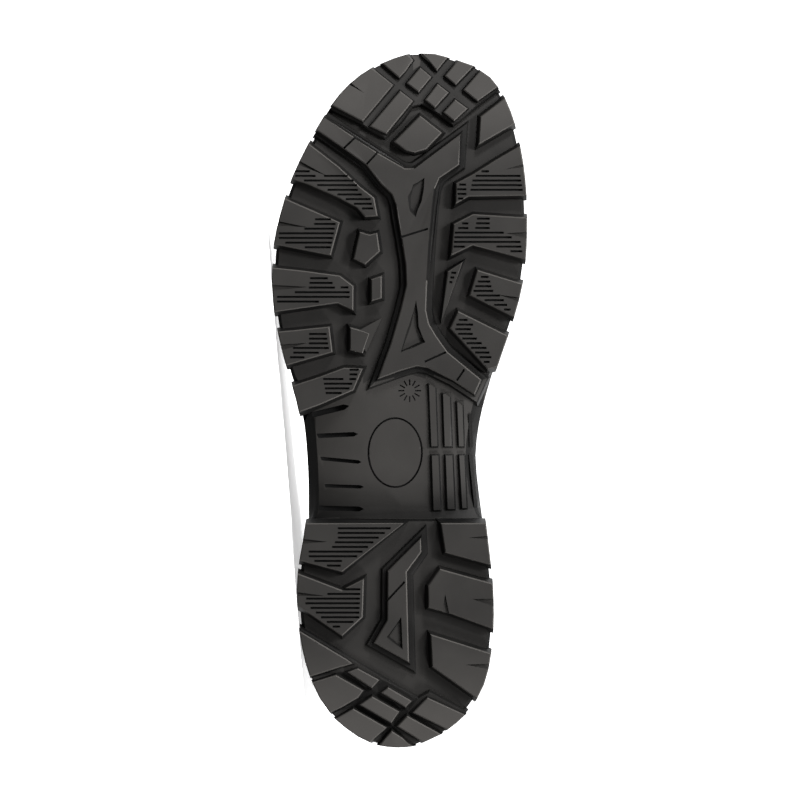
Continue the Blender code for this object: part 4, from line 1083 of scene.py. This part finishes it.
def seam_lines():
    """Places of row and across along each row of stitches, with the step that they lie on."""
    lines = []
    last = COLLAR_BAND_ROW - SEAM_MARGIN
    for side in (-1, 1):
        for share in EYESTAY_STITCHES:
            lines.append([(row, side * share_across(row, share), EYESTAY_STEP)
                          for row in spread(EYESTAY_ROW + SEAM_START, last, EYESTAY_POINTS)])
        for share in BACK_STITCHES:
            lines.append([(row, side * share, 0.0)
                          for row in spread(BACK_SEAM_ROW + SEAM_MARGIN, last, SEAM_POINTS)])
        for row in COLLAR_STITCHES:
            start = throat_across(row) + COLLAR_ENDS[0]
            lines.append([(row, side * across, COLLAR_STEP)
                          for across in spread(start, COLLAR_ENDS[1], SEAM_POINTS)])
    reach = EYESTAY_STITCHES[0]
    for gap in FRONT_STITCHES:
        lines.append([(EYESTAY_ROW + gap, across, EYESTAY_STEP)
                      for across in spread(-reach, reach, FRONT_POINTS)])
    return lines


def make_stitches(thread, upper):
    """Waxed thread sunk into the leather along the eyestay, the collar band and the back seam."""
    leather = bmesh.new()
    leather.from_mesh(upper.data)
    bmesh.ops.transform(leather, matrix=INTO_BOOT, verts=leather.verts)
    tree = BVHTree.FromBMesh(leather)
    leather.free()
    bm = bmesh.new()
    for line in seam_lines():
        points = [off_upper(row, across, step) for row, across, step in line]
        run, due = 0.0, STITCH_PITCH / 2
        for k in range(len(points) - 1):
            stretch = (points[k + 1] - points[k]).length
            while due < run + stretch:
                spot, normal = tree.find_nearest(points[k].lerp(points[k + 1], (due - run) / stretch))[:2]
                along = (points[k + 1] - points[k]).normalized()
                side = normal.cross(along).normalized()
                turn = Matrix((along, side, along.cross(side))).transposed().to_4x4()
                made = bmesh.ops.create_icosphere(bm, subdivisions=1, radius=1.0)["verts"]
                place = Matrix.Translation(spot) @ turn @ Matrix.Diagonal((*STITCH_SIZE, 1.0))
                bmesh.ops.transform(bm, matrix=BOOT @ place, verts=made)
                due += STITCH_PITCH
            run += stretch
    piece = add_piece("waxed_seam_stitches", bm, [thread], [])
    smooth_shade(piece.data, STITCH_ANGLE)


def add_sheet(name, material, place):
    """Large flat sheet of the studio."""
    bm = bmesh.new()
    bmesh.ops.create_grid(bm, x_segments=1, y_segments=1, size=STAGE_HALF)
    bmesh.ops.transform(bm, matrix=place, verts=bm.verts)
    mesh = mesh_from(name, bm)
    mesh.materials.append(material)
    return add_object(name, mesh)


def make_floor():
    """Pale seamless floor that glows a little, as a light table does, so that shadows on it stay soft. It
    throws no light on the boot, so that the walls of the lugs stay black."""
    material, shader, place = start_material("pale_matt_floor", {
        "Roughness": 0.9, "Emission Color": linear("#ffffff"), "Emission Strength": FLOOR_GLOW})
    mottle = add_node(material, "ShaderNodeTexNoise", {"Vector": place, "Scale": per_metre(400.0),
                                                       "Detail": 2.0})
    tone = add_node(material, "ShaderNodeValToRGB", {"Fac": mottle.outputs["Fac"]},
                    stops=((0.0, "#f4f4f4"), (1.0, "#fafafa")))
    set_inputs(material, shader, {"Base Color": tone.outputs["Color"]})
    floor = add_sheet("floor", material, Matrix())
    floor.visible_diffuse = floor.visible_glossy = False


def make_light():
    """Dim room with soft boxes, a small key before the tread and one each off the toe and the heel, and a
    broad overhead sun."""
    world = bpy.data.worlds.new("dim_studio")
    world.use_nodes = True
    room = world.node_tree.nodes["Background"].inputs
    room["Color"].default_value, room["Strength"].default_value = linear("#ffffff"), ROOM_LIGHT
    bpy.context.scene.world = world
    for name, place, aim, size, power in SOFT_BOXES:
        lamp = bpy.data.lights.new(name, "AREA")
        lamp.size, lamp.energy = size, power
        holder = add_object(name, lamp)
        holder.location = place
        holder.rotation_euler = (Vector(aim) - Vector(place)).to_track_quat("-Z", "Y").to_euler()
    sun = bpy.data.lights.new("overhead", "SUN")
    sun.energy, sun.angle = OVERHEAD_LIGHT, math.radians(OVERHEAD_SPREAD)
    holder = add_object("overhead", sun)
    holder.rotation_euler = Vector(OVERHEAD_WAY).to_track_quat("-Z", "Y").to_euler()


def make_backdrop():
    """White lit wall far behind the boot."""
    white = linear("#ffffff")
    material = start_material("lit_white_wall", {"Roughness": 1.0, "Base Color": white,
                                                 "Emission Color": white,
                                                 "Emission Strength": BACKDROP_GLOW})[0]
    upright = Matrix.Translation((0, BACKDROP_AWAY, 0)) @ Matrix.Rotation(math.pi / 2, 4, "X")
    wall = add_sheet("backdrop", material, upright)


def make_camera():
    """Camera square to the tread, toe up in the picture, as in the photograph."""
    data = bpy.data.cameras.new("camera")
    data.lens = data.sensor_width * CAMERA_DISTANCE / PICTURE_WIDTH
    data.clip_start, data.clip_end = CAMERA_CLIP
    camera = add_object("camera", data)
    toe, medial, collar = (column.normalized() for column in BOOT.to_3x3().transposed())
    turn = Matrix((medial, toe, -collar)).transposed()
    eye = BOOT @ Vector((*PICTURE_CENTRE, -CAMERA_DISTANCE))
    camera.matrix_world = Matrix.Translation(eye) @ turn.to_4x4()
    bpy.context.scene.camera = camera


BOOT = boot_frame()
INTO_BOOT = BOOT.inverted()
HEM_LINE = make_hem_line()
EYELET_SPOTS = eyelet_spots()

make_camera()
make_light()
make_floor()
make_backdrop()
rubber = make_rubber()
leather = make_leather()
lining = make_weave("woven_black_lining", "#141415", "#2e2e30", thread=1.1, roughness=0.85)
tongue_cloth = make_weave("woven_black_nylon", "#121213", "#2a2a2c", thread=1.3, roughness=0.8)
footbed_cloth = make_weave("grey_footbed_knit", "#2c2c2e", "#58585c", thread=1.2, roughness=0.95)
lace_cloth = make_weave("braided_black_lace", "#0f0f10", "#2b2b2d", thread=0.9, roughness=0.8)
seam_thread = make_weave("waxed_black_thread", "#2a2826", "#55514d", thread=0.5, roughness=0.6)
enamel = make_enamel()

make_outsole(rubber)
upper = make_upper(leather, lining)
make_tongue(tongue_cloth)
make_footbed(footbed_cloth)
make_eyelets(enamel)
make_laces(lace_cloth)
make_stitches(seam_thread, upper)

bpy.context.scene.view_settings.view_transform = "Standard"
